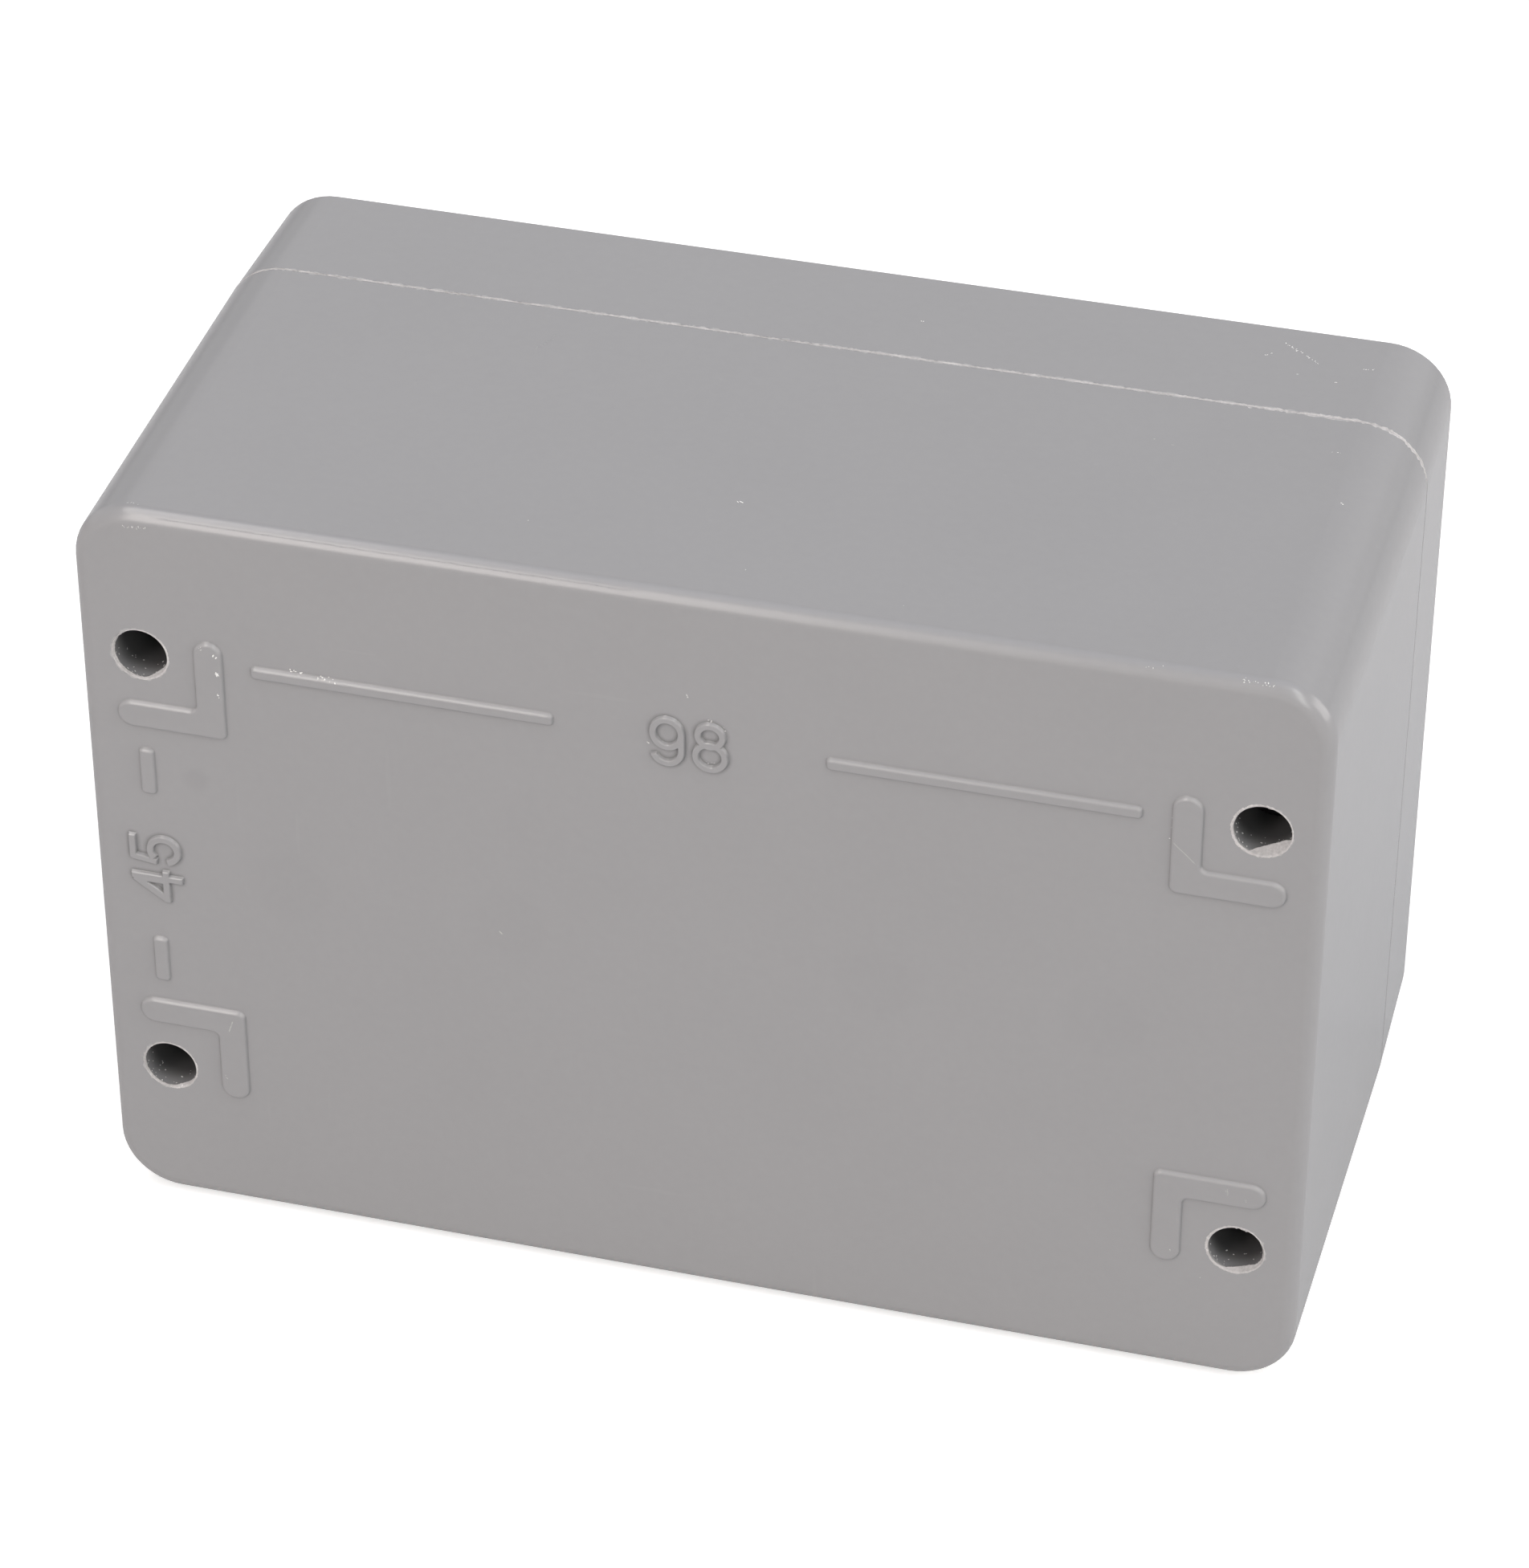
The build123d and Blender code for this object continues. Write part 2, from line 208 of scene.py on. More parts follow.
def place(tree, kind, inputs=None, **settings):
    """Adds a node, with its settings and with each input set to a value or linked to a socket."""
    node = tree.nodes.new("ShaderNode" + kind)
    column, row = divmod(len(tree.nodes), NODES_IN_COLUMN)
    node.location = (column * COLUMN_STEP, -row * ROW_STEP)
    for name, value in settings.items():
        setattr(node, name, value)
    for name, value in (inputs or {}).items():
        if isinstance(value, bpy.types.NodeSocket):
            tree.links.new(value, node.inputs[name])
        else:
            node.inputs[name].default_value = value
    return node


def maths(tree, operation, *values, clamp=False):
    node = place(tree, "Math", dict(enumerate(values)), operation=operation, use_clamp=clamp)
    return node.outputs[0]


def times(tree, first, second):
    return maths(tree, "MULTIPLY", first, second)


def less(tree, first, second):
    return maths(tree, "SUBTRACT", first, second)


def weighed(tree, value, factor, added):
    return maths(tree, "MULTIPLY_ADD", value, factor, added)


def greater(tree, first, second):
    return maths(tree, "MAXIMUM", first, second)


def vector_maths(tree, operation, *values, output=0):
    node = place(tree, "VectorMath", dict(enumerate(values)), operation=operation)
    return node.outputs[output]


def ramp(tree, value, low, high, first=0.0, last=1.0):
    """A smooth step of a value between two limits."""
    inputs = {"Value": value, "From Min": low, "From Max": high, "To Min": first, "To Max": last}
    return place(tree, "MapRange", inputs, interpolation_type="SMOOTHSTEP").outputs["Result"]


def blend_colours(tree, share, first, second):
    return place(tree, "Mix", {0: share, 6: first, 7: second}, data_type="RGBA").outputs[2]


def blend_directions(tree, share, first, second):
    return place(tree, "Mix", {0: share, 4: first, 5: second}, data_type="VECTOR").outputs[1]


def scaled(tree, vector, factor):
    return place(tree, "VectorMath", {0: vector, "Scale": factor}, operation="SCALE").outputs[0]


def axes(tree, vector):
    """The X, Y and Z of a vector, by name."""
    return place(tree, "SeparateXYZ", {0: vector}).outputs


def grain_texture(tree, vector, scale, detail):
    return place(tree, "TexNoise", {"Vector": vector, "Scale": scale, "Detail": detail}).outputs


def strongest(tree, masks):
    """The highest of several masks at each place."""
    found, *others = masks
    for mask in others:
        found = greater(tree, found, mask)
    return found


def paint(tree, under, *layers):
    """Lays colours one over the other. A layer is a mask, the share of it that shows, and its colour."""
    for mask, share, colour in layers:
        under = blend_colours(tree, times(tree, mask, share), under, colour)
    return under


def grey(value):
    return (value, value, value, 1.0)


def full(colour):
    return (*colour, 1.0)


def tinted(colour, factor):
    return (*(channel * factor for channel in colour), 1.0)


def new_group(name, inputs, outputs):
    """An empty node group with named inputs, each a number with its default or a vector, and named
    outputs. Returns the group, its inputs and a way to set an output."""
    tree = bpy.data.node_groups.new(name, "ShaderNodeTree")
    for label, default in inputs.items():
        kind = VECTOR if default is VECTOR else FLOAT
        socket = tree.interface.new_socket(name=label, in_out="INPUT", socket_type=kind)
        if kind == FLOAT:
            socket.default_value = default
    for label, kind in outputs.items():
        tree.interface.new_socket(name=label, in_out="OUTPUT", socket_type=kind)
    entry = tree.nodes.new("NodeGroupInput")
    end = tree.nodes.new("NodeGroupOutput")
    end.location = (2200, 0)

    def give(label, socket):
        tree.links.new(socket, end.inputs[label])

    return tree, entry.outputs, give


def use_group(tree, name, output=0, **inputs):
    """Places one of the shared groups and returns one of its outputs, or several that are named."""
    inputs = {label.replace("_", " "): value for label, value in inputs.items()}
    outputs = place(tree, "Group", inputs, node_tree=bpy.data.node_groups[name]).outputs
    if isinstance(output, tuple):
        return [outputs[label] for label in output]
    return outputs[output]


def build_cloudy_tone():
    """Broad and fine unevenness of a colour, as a factor near 1."""
    tree, given, give = new_group(
        "Cloudy tone",
        {"Position": VECTOR, "Coarse": 60.0, "Fine": 700.0, "Strength": 0.02},
        {"Tone": FLOAT},
    )
    coarse = grain_texture(tree, given["Position"], given["Coarse"], 3.0)
    fine = grain_texture(tree, given["Position"], given["Fine"], 2.0)
    both = maths(tree, "ADD", coarse[0], fine[0])
    swing = less(tree, both, 1.0)
    give("Tone", weighed(tree, swing, times(tree, given["Strength"], 2.0), 1.0))


def build_scattered_specks():
    """Small round specks, one in some of the cells of a scatter."""
    tree, given, give = new_group(
        "Scattered specks",
        {"Position": VECTOR, "Scale": 300.0, "Size": 0.15, "Share": 0.2},
        {"Mask": FLOAT},
    )
    cells = place(tree, "TexVoronoi", {"Vector": given["Position"], "Scale": given["Scale"]})
    chance = place(tree, "SeparateColor", {"Color": cells.outputs["Color"]})
    present = maths(tree, "LESS_THAN", chance.outputs["Red"], given["Share"])
    size = times(tree, given["Size"], maths(tree, "ADD", chance.outputs["Green"], 0.35))
    dot = ramp(tree, cells.outputs["Distance"], size, times(tree, size, 0.5))
    give("Mask", times(tree, present, dot))


def build_broken_surface():
    """A place shaken a little, and a grain, for the marks that break up as they run."""
    tree, given, give = new_group(
        "Broken surface",
        {"Position": VECTOR, "Scale": 900.0, "Shake": 0.00016},
        {"Shaken": VECTOR, "Grain": FLOAT},
    )
    wobble = grain_texture(tree, given["Position"], given["Scale"], 1.0)
    shift = vector_maths(tree, "SUBTRACT", wobble["Color"], (0.5, 0.5, 0.5))
    shift = scaled(tree, shift, given["Shake"])
    give("Shaken", vector_maths(tree, "ADD", given["Position"], shift))
    fine = times(tree, given["Scale"], 3.0)
    grain = grain_texture(tree, given["Position"], fine, 2.0)
    give("Grain", grain[0])


def build_stroke():
    """A straight scratch from one point to another, broken up along its length."""
    tree, given, give = new_group(
        "Stroke",
        {"Shaken": VECTOR, "Grain": 0.5, "Start": VECTOR, "End": VECTOR, "Width": 0.0002, "Break": 0.5},
        {"Mask": FLOAT},
    )
    along = vector_maths(tree, "SUBTRACT", given["End"], given["Start"])
    offset = vector_maths(tree, "SUBTRACT", given["Shaken"], given["Start"])
    reach = greater(tree, vector_maths(tree, "DOT_PRODUCT", along, along, output=1), 1e-12)
    run = vector_maths(tree, "DOT_PRODUCT", offset, along, output=1)
    share = maths(tree, "DIVIDE", run, reach, clamp=True)
    foot = scaled(tree, along, share)
    gap = vector_maths(tree, "DISTANCE", offset, foot, output=1)
    near = ramp(tree, gap, given["Width"], times(tree, given["Width"], 0.25))
    gaps = ramp(tree, given["Grain"], weighed(tree, given["Break"], 0.45, 0.2), 0.72)
    whole = less(tree, 0.6, given["Break"])
    give("Mask", times(tree, near, greater(tree, gaps, whole)))


def build_ragged_band():
    """A band with a ragged outer edge, from a distance to where it starts."""
    tree, given, give = new_group(
        "Ragged band",
        {"Position": VECTOR, "Distance": 0.0, "Width": 0.0004, "Grain": 1500.0},
        {"Mask": FLOAT},
    )
    grain = grain_texture(tree, given["Position"], given["Grain"], 3.0)
    reach = times(tree, given["Width"], ramp(tree, grain[0], 0.3, 0.72, 0.15, 1.6))
    give("Mask", ramp(tree, given["Distance"], reach, times(tree, reach, 0.2)))


def build_corner_place():
    """Distance from the nearest of four axes that lie in the corners of a rectangle, along Y."""
    tree, given, give = new_group(
        "Corner place",
        {"Position": VECTOR, "Half X": HOLE_X, "Half Z": HOLE_Z},
        {"Local": VECTOR, "Radius": FLOAT},
    )
    centred = vector_maths(tree, "SUBTRACT", given["Position"], (0.0, 0.0, MIDDLE))
    folded = axes(tree, vector_maths(tree, "ABSOLUTE", centred))
    x = less(tree, folded["X"], given["Half X"])
    z = less(tree, folded["Z"], given["Half Z"])
    y = axes(tree, given["Position"])["Y"]
    give("Local", place(tree, "CombineXYZ", {"X": x, "Y": y, "Z": z}).outputs[0])
    flat = place(tree, "CombineXYZ", {"X": x, "Z": z}).outputs[0]
    give("Radius", vector_maths(tree, "LENGTH", flat, output=1))


EDGE_SAMPLES = 4


def build_moulded_edges():
    """Softened edges, and a mask of the narrow creases beside raised forms, read from ambient occlusion."""
    tree, given, give = new_group(
        "Moulded edges",
        {"Radius": 0.0002, "Reach": 0.0005},
        {"Normal": VECTOR, "Crease": FLOAT},
    )
    bevel = place(tree, "Bevel", {"Radius": given["Radius"]}, samples=EDGE_SAMPLES)
    shade = place(tree, "AmbientOcclusion", {"Distance": given["Reach"]}, samples=EDGE_SAMPLES)
    give("Normal", bevel.outputs["Normal"])
    give("Crease", ramp(tree, shade.outputs["AO"], 0.96, 0.55))


def build_grain_height():
    """Fine relief of a surface, in metres."""
    tree, given, give = new_group(
        "Grain height",
        {"Position": VECTOR, "Scale": 2500.0, "Depth": 2e-6},
        {"Height": FLOAT},
    )
    grain = grain_texture(tree, given["Position"], given["Scale"], 3.0)
    give("Height", times(tree, grain[0], given["Depth"]))


# Two directions in which fibres lie: the turn, and the squeeze that draws a speck out to a trace
FIBRE_DIRECTIONS = (((0.4, 0.3, 0.5), (1.0, 1.0, 0.07)), ((1.3, 0.9, 2.1), (0.08, 1.0, 1.0)))


def build_fibre_traces():
    """Short straight traces in two directions, as glass fibres leave under a resin skin."""
    tree, given, give = new_group(
        "Fibre traces",
        {"Position": VECTOR, "Scale": 260.0, "Share": 0.3},
        {"Mask": FLOAT},
    )
    masks = []
    for turn, squeeze in FIBRE_DIRECTIONS:
        mapping = place(tree, "Mapping", {"Vector": given["Position"], "Rotation": turn, "Scale": squeeze})
        masks.append(use_group(tree, "Scattered specks", Position=mapping.outputs[0], Scale=given["Scale"],
                               Size=0.11, Share=given["Share"]))
    give("Mask", greater(tree, *masks))


def build_turning_height():
    """Fine rings that a lathe leaves, from a distance to the axis."""
    tree, given, give = new_group(
        "Turning height",
        {"Radius": 0.0, "Spacing": 0.0001, "Depth": 1e-6},
        {"Height": FLOAT},
    )
    turns = maths(tree, "DIVIDE", given["Radius"], given["Spacing"])
    on_line = place(tree, "CombineXYZ", {"X": turns})
    rings = grain_texture(tree, on_line.outputs[0], 1.0, 2.0)
    give("Height", times(tree, rings[0], given["Depth"]))


GROUP_BUILDERS = (build_cloudy_tone, build_scattered_specks, build_broken_surface, build_stroke,
                  build_ragged_band, build_corner_place, build_moulded_edges, build_grain_height,
                  build_fibre_traces, build_turning_height)


def new_material(name, colour, roughness, **uniform):
    """A material with one principled shader, its object coordinates, and its uniform values set."""
    material = bpy.data.materials.new(name)
    material.use_nodes = True
    material.diffuse_color = full(colour)
    tree = material.node_tree
    tree.nodes.clear()
    uniform |= {"Base Color": full(colour), "Roughness": roughness}
    shader = place(tree, "BsdfPrincipled", uniform)
    end = place(tree, "OutputMaterial", {"Surface": shader.outputs[0]})
    shader.location, end.location = (2600, 0), (2900, 0)
    position = place(tree, "TexCoord").outputs["Object"]
    return material, tree, shader, position


def bump(tree, height, normal=None):
    inputs = {"Height": height, "Distance": 1.0, "Strength": 1.0}
    if normal is not None:
        inputs["Normal"] = normal
    return place(tree, "Bump", inputs).outputs[0]


def feed(tree, shader, **sockets):
    for label, socket in sockets.items():
        tree.links.new(socket, shader.inputs[label.replace("_", " ")])


# Marks of use on the grey mouldings, and places where shade is painted on them. A place is measured in
# millimetres on the face that it lies on: across the picture from the middle, then up from the middle or back
# from the back face.


def on_back(across, up, height=0.0):
    return Vector((-across * MM, BACK + height * MM, MIDDLE + up * MM))


def on_top(across, behind):
    return Vector((-across * MM, BACK + behind * MM, TOP))


# Strokes: the two ends, the width in millimetres and how much each is broken up
LIGHT_STROKES = [
    (on_back(-35.3, 23.2, 0.25), on_back(-34.2, 23.1, 0.25), 0.16, 0.6),
    (on_back(-32.9, 23.1, 0.25), on_back(-31.2, 22.95, 0.25), 0.14, 0.6),
    (on_back(41.7, 20.15, 0.35), on_back(43.85, 18.15, 0.35), 0.055, 0.2),
    (on_back(-42.6, -16.0, 0.35), on_back(-43.0, -17.15, 0.35), 0.07, 0.3),
    (on_top(-4.4, -51.9), on_top(-5.2, -49.8), 0.16, 0.5),
    (on_top(-5.2, -49.8), on_top(-5.4, -49.0), 0.14, 0.6),
    (on_top(-3.1, -49.1), on_top(-3.6, -47.5), 0.15, 0.6),
    (on_top(-3.3, -48.4), on_top(-2.85, -46.9), 0.10, 0.6),
    (on_top(37.6, -48.7), on_top(39.4, -50.25), 0.09, 0.6),
    (on_top(47.2, -49.2), on_top(48.5, -49.8), 0.11, 0.6),
    (on_top(32.0, -33.5), on_top(35.0, -32.6), 0.16, 0.8),
    (on_back(-18.2, -0.2), on_back(-16.9, -1.4), 0.12, 0.7),
]
DARK_STROKES = [
    # The first dark stroke, along the fillet at the top of the back, is painted shade: a thin dark line where
    # the highlight on the fillet dips
    (on_back(-46.5, 36.6, -0.3), on_back(-5.0, 36.6, -0.3), 0.08, 0.1),
    (on_top(-23.4, -33.6), on_top(-22.1, -36.6), 0.30, 0.7),
    (on_top(38.7, -54.6), on_top(39.4, -53.95), 0.16, 0.2),
    (on_top(36.0, -51.3), on_top(36.05, -51.3), 0.10, 0.0),
    (on_top(-47.6, -15.4), on_top(-47.55, -15.4), 0.10, 0.0),
]

# Round spots: the middle, the radius where each starts and the radius where it is full. The sink marks lie
# over the floor bosses, and the painted crease shade is strongest on the ground of the two figures.
SINK_RADIUS, SINK_DEPTH = 3.5 * MM, 1.2e-5
SINK_MARKS = [(Vector((side * x, BACK, MIDDLE)), SINK_RADIUS * 1.25, SINK_RADIUS * 0.75)
              for side in (1, -1) for x in PLATE_X]
FIGURE_SHADE_GROUNDS = [(on_back(0.0, 22.4), 4.6 * MM, 4.1 * MM), (on_back(-48.8, -0.3), 4.8 * MM, 4.3 * MM)]
# Shares of painted crease shade beside the figures and beside the other raised forms
FIGURE_CREASE_SHADE, FACE_CREASE_SHADE = 0.80, 0.20
STAIN_RADIUS = 1.7 * MM
STAINS = [(on_back(-44.6, 10.1), STAIN_RADIUS, STAIN_RADIUS * 0.3)]


def stroke_masks(tree, shaken, grain, strokes):
    """The strongest of several strokes at each place."""
    return strongest(tree, [
        use_group(tree, "Stroke", Shaken=shaken, Grain=grain, Start=start, End=end, Width=width * MM,
                  Break=breaks)
        for start, end, width, breaks in strokes
    ])


def round_masks(tree, position, spots):
    """Round soft-edged spots, each with its middle and the radii where it starts and is full."""
    return strongest(tree, [
        ramp(tree, vector_maths(tree, "DISTANCE", position, middle, output=1), start, full_at)
        for middle, start, full_at in spots
    ])


# Down the two short sides the parting line was rubbed flush: below a place in the top corners that
# fades over a length, and from an inner to an outer place across
RUBBED_BELOW = TOP - CORNER_RADIUS * 0.55
RUBBED_FADE = 2.5 * MM
RUBBED_FROM, RUBBED_TO = BASE_HIGH.x - 2.2 * MM, BASE_HIGH.x - 0.7 * MM

# Colours of the broken resin, of the marks on the whole, and of the painted highlight on upward-facing edges
FLASH_COLOUR, FLECK_COLOUR = (0.57, 0.548, 0.545), (0.88, 0.87, 0.86)
BROKEN_EDGE = (0.60, 0.585, 0.585, 1.0)
EDGE_HIGHLIGHT_COLOUR = (0.56, 0.55, 0.55, 1.0)
PALE_SCRATCH = (0.74, 0.71, 0.68, 1.0)
PALE_SPECK = (0.70, 0.70, 0.72, 1.0)

CREASE_REACH = 0.45 * MM
SEAM_BAND, HALO_BAND = 0.30 * MM, 0.24 * MM


def corner_radius(tree, position, half_x, half_z):
    """Distance from the nearest of the four axes of the fixing holes or of the lid screws."""
    return use_group(tree, "Corner place", output="Radius", Position=position, Half_X=half_x, Half_Z=half_z)


def rubbed_mask(tree, straight):
    """Where the parting line was rubbed flush."""
    low_enough = ramp(tree, straight["Z"], RUBBED_BELOW, RUBBED_BELOW - RUBBED_FADE)
    across = maths(tree, "ABSOLUTE", straight["X"])
    return times(tree, low_enough, ramp(tree, across, RUBBED_FROM, RUBBED_TO))


def ragged_band(tree, position, distance, width, grain):
    return use_group(tree, "Ragged band", Position=position, Distance=distance, Width=width, Grain=grain)


def inverted(tree, mask):
    return less(tree, 1.0, mask)


def hole_masks(tree, position, straight):
    """The whitened band round the fixing holes, and the shade inside them."""
    radius = corner_radius(tree, position, HOLE_X, HOLE_Z)
    from_edge = less(tree, radius, HOLE_RADIUS)
    at_back = ramp(tree, straight["Y"], BACK - 0.5 * MM, BACK - 0.1 * MM)
    halo = ragged_band(tree, position, from_edge, HALO_BAND, 1500.0)
    # Painted shade: the walls deep in the holes are painted darker, as little light reaches them
    inside = ramp(tree, from_edge, 0.12 * MM, 0.02 * MM)
    inside = times(tree, inside, ramp(tree, straight["Y"], BACK - 0.2 * MM, BACK - 3.0 * MM))
    above_lid = ramp(tree, straight["Y"], PARTING - 0.1 * MM, PARTING + 0.1 * MM)
    return times(tree, halo, at_back), times(tree, inside, above_lid)


def clouded(tree, position, colour, coarse, fine, strength):
    """A colour with its unevenness, and the tone alone."""
    tone = use_group(tree, "Cloudy tone", Position=position, Coarse=coarse, Fine=fine, Strength=strength)
    return scaled(tree, colour, tone), tone


def grain_height(tree, position, scale, depth):
    return use_group(tree, "Grain height", Position=position, Scale=scale, Depth=depth)


def moulded_edges(tree, radius, reach):
    """The creases beside raised forms, and the softened normal."""
    return use_group(tree, "Moulded edges", output=("Crease", "Normal"), Radius=radius, Reach=reach)


def resin_material(name, finish, edge_radius, crease):
    """Satin grey glass-polyester with its mottle, marks and whitened broken edges, with painted shade in the
    creases beside raised forms and deep in the fixing holes, and a painted highlight on the upward-facing
    slopes of the raised forms. The crease is the share of painted shade beside raised forms."""
    colour = tuple(finish.colour)
    material, tree, shader, position = new_material(name, colour, finish.roughness)
    fibres = use_group(tree, "Fibre traces", Position=position, Scale=420.0, Share=0.25)
    specks = use_group(tree, "Scattered specks", Position=position, Scale=190.0, Size=0.05, Share=0.10)
    shaken, broken = use_group(tree, "Broken surface", output=("Shaken", "Grain"), Position=position)
    light = stroke_masks(tree, shaken, broken, LIGHT_STROKES)
    dark = stroke_masks(tree, shaken, broken, DARK_STROKES)
    stain = round_masks(tree, position, STAINS)
    sinks = round_masks(tree, position, SINK_MARKS)

    straight = axes(tree, position)
    halo, painted_hole_shade = hole_masks(tree, position, straight)
    from_parting = maths(tree, "ABSOLUTE", less(tree, straight["Y"], PARTING))
    seam = ragged_band(tree, position, from_parting, SEAM_BAND, 1100.0)
    rubbed_flush = rubbed_mask(tree, straight)
    seam = times(tree, seam, inverted(tree, rubbed_flush))
    rubbed_flush = times(tree, rubbed_flush, ramp(tree, from_parting, 0.7 * MM, 0.4 * MM))

    # Painted shade: the creases beside raised forms, found by ambient occlusion, are painted darker
    edges, soft = moulded_edges(tree, edge_radius, CREASE_REACH)
    edges = times(tree, edges, inverted(tree, rubbed_flush))
    plain = place(tree, "NewGeometry").outputs["Normal"]
    soft = blend_directions(tree, rubbed_flush, soft, plain)
    # The painted crease shade is stronger on the ground of the two figures
    figures = round_masks(tree, position, FIGURE_SHADE_GROUNDS)
    shade = weighed(tree, figures, FIGURE_CREASE_SHADE - crease, crease)
    # Painted highlight: the upward-facing slopes of the raised forms on the back are painted paler, as the
    # lamps above light them
    painted_edge_highlight = ramp(tree, axes(tree, soft)["Z"], 0.10, 0.55)
    at_back = ramp(tree, straight["Y"], BACK - 0.10 * MM, BACK + 0.02 * MM)
    painted_edge_highlight = times(tree, painted_edge_highlight, at_back)
    pale = greater(tree, times(tree, seam, 0.5), times(tree, halo, 0.4))

    body = blend_colours(tree, fibres, full(colour), tinted(colour, 1.02))
    body, _ = clouded(tree, position, body, 70.0, 1100.0, finish.mottle)
    shaded = paint(
        tree, body,
        # painted shade in the creases beside raised forms
        (edges, shade, tinted(colour, 0.40)),
        # painted highlight on the upward-facing slopes
        (painted_edge_highlight, 0.24, EDGE_HIGHLIGHT_COLOUR),
        (stain, 0.10, tinted(colour, 0.5)),
        (sinks, 0.03, tinted(colour, 0.5)),
        (dark, 0.35, tinted(colour, 0.4)),
        (light, 0.42, PALE_SCRATCH),
    )
    shaded = blend_colours(tree, pale, shaded, BROKEN_EDGE)
    # The pale specks, then the painted shade deep in the fixing holes
    shaded = paint(tree, shaded, (specks, 0.5, PALE_SPECK), (painted_hole_shade, 0.75, tinted(colour, 0.12)))
    worn = greater(tree, greater(tree, light, dark), pale)
    rough = weighed(tree, worn, 0.35, finish.roughness)

    grain = grain_height(tree, position, 1600.0, 1.6e-6)
    waves = grain_height(tree, position, 55.0, 2.2e-5)
    relief = weighed(tree, sinks, -SINK_DEPTH, maths(tree, "ADD", grain, waves))
    feed(tree, shader, Base_Color=shaded, Roughness=rough, Normal=bump(tree, relief, soft))
    return material


def broken_resin_material(name, colour):
    """Whitish broken resin and glass, where flash and film tore, greyer on the film in the holes."""
    film_colour = tinted(colour, 0.80)
    material, tree, shader, position = new_material(name, colour, 0.7)
    radius = corner_radius(tree, position, HOLE_X, HOLE_Z)
    on_film = ramp(tree, radius, HOLE_RADIUS + 0.02 * MM, HOLE_RADIUS - 0.10 * MM)
    shaded = blend_colours(tree, on_film, full(colour), film_colour)
    shaded, _ = clouded(tree, position, shaded, 900.0, 4200.0, 0.30)
    fibres = use_group(tree, "Fibre traces", Position=position, Scale=1500.0, Share=0.5)
    shaded = paint(tree, shaded, (fibres, 0.6, (0.84, 0.82, 0.80, 1.0)))
    grain = grain_height(tree, position, 5200.0, 2.4e-5)
    feed(tree, shader, Base_Color=shaded, Normal=bump(tree, grain))
    return material


def foam_material():
    """Dark closed-cell foam, pitted with cut cells."""
    colour = (0.035, 0.036, 0.038)
    material, tree, shader, position = new_material("cell_foam", colour, 0.9)
    cells = place(tree, "TexVoronoi", {"Vector": position, "Scale": 2600.0})
    shaded, _ = clouded(tree, position, colour, 300.0, 2600.0, 0.3)
    walls = ramp(tree, cells.outputs["Distance"], 0.25, 0.6)
    shaded = paint(tree, shaded, (walls, 0.5, (0.085, 0.086, 0.088, 1.0)))
    dust = use_group(tree, "Scattered specks", Position=position, Scale=900.0, Size=0.14, Share=0.2)
    shaded = paint(tree, shaded, (dust, 0.4, (0.4, 0.4, 0.4, 1.0)))
    feed(tree, shader, Base_Color=shaded, Normal=bump(tree, times(tree, walls, 3.5e-5)))
    return material


def stainless_material():
    """Turned stainless steel with fine rings, light handling marks and painted shade in its creases."""
    colour = (0.60, 0.59, 0.575)
    material, tree, shader, position = new_material("turned_stainless", colour, 0.3, Metallic=1.0)
    radius = corner_radius(tree, position, SCREW_X, SCREW_Z)
    rings = use_group(tree, "Turning height", Radius=radius, Spacing=0.05 * MM, Depth=3.0e-6)
    shaded, tone = clouded(tree, position, colour, 500.0, 3000.0, 0.10)
    crease, soft = moulded_edges(tree, 0.06 * MM, 0.4 * MM)
    # Painted shade in the creases
    shaded = paint(tree, shaded, (crease, 0.5, (0.10, 0.095, 0.09, 1.0)))
    rough = times(tree, tone, 0.3)
    feed(tree, shader, Base_Color=shaded, Roughness=rough, Normal=bump(tree, rings, soft))
    return material


def nylon_material():
    """Natural nylon, slightly yellowed, with faint moulding rings and painted shade in its creases."""
    colour = (0.76, 0.735, 0.66)
    material, tree, shader, position = new_material("natural_nylon", colour, 0.42)
    shaded, _ = clouded(tree, position, colour, 250.0, 1800.0, 0.06)
    radius = corner_radius(tree, position, SCREW_X, SCREW_Z)
    rings = use_group(tree, "Turning height", Radius=radius, Spacing=0.12 * MM, Depth=2.5e-6)
    crease, soft = moulded_edges(tree, 0.08 * MM, 0.4 * MM)
    # Painted shade in the creases
    shaded = paint(tree, shaded, (crease, 0.4, (0.34, 0.31, 0.25, 1.0)))
    feed(tree, shader, Base_Color=shaded, Normal=bump(tree, rings, soft))
    return material


def brass_material():
    """Turned brass, dulled in its threads."""
    colour = (0.70, 0.50, 0.22)
    material, tree, shader, position = new_material("turned_brass", colour, 0.34, Metallic=1.0)
    shaded, tone = clouded(tree, position, colour, 420.0, 2600.0, 0.16)
    crease, soft = moulded_edges(tree, 0.05 * MM, 0.5 * MM)
    shaded = paint(tree, shaded, (crease, 0.6, (0.16, 0.085, 0.03, 1.0)))
    grain = grain_height(tree, position, 3800.0, 2.0e-6)
    rough = times(tree, tone, 0.34)
    feed(tree, shader, Base_Color=shaded, Roughness=rough, Normal=bump(tree, grain, soft))
    return material


# Meshes


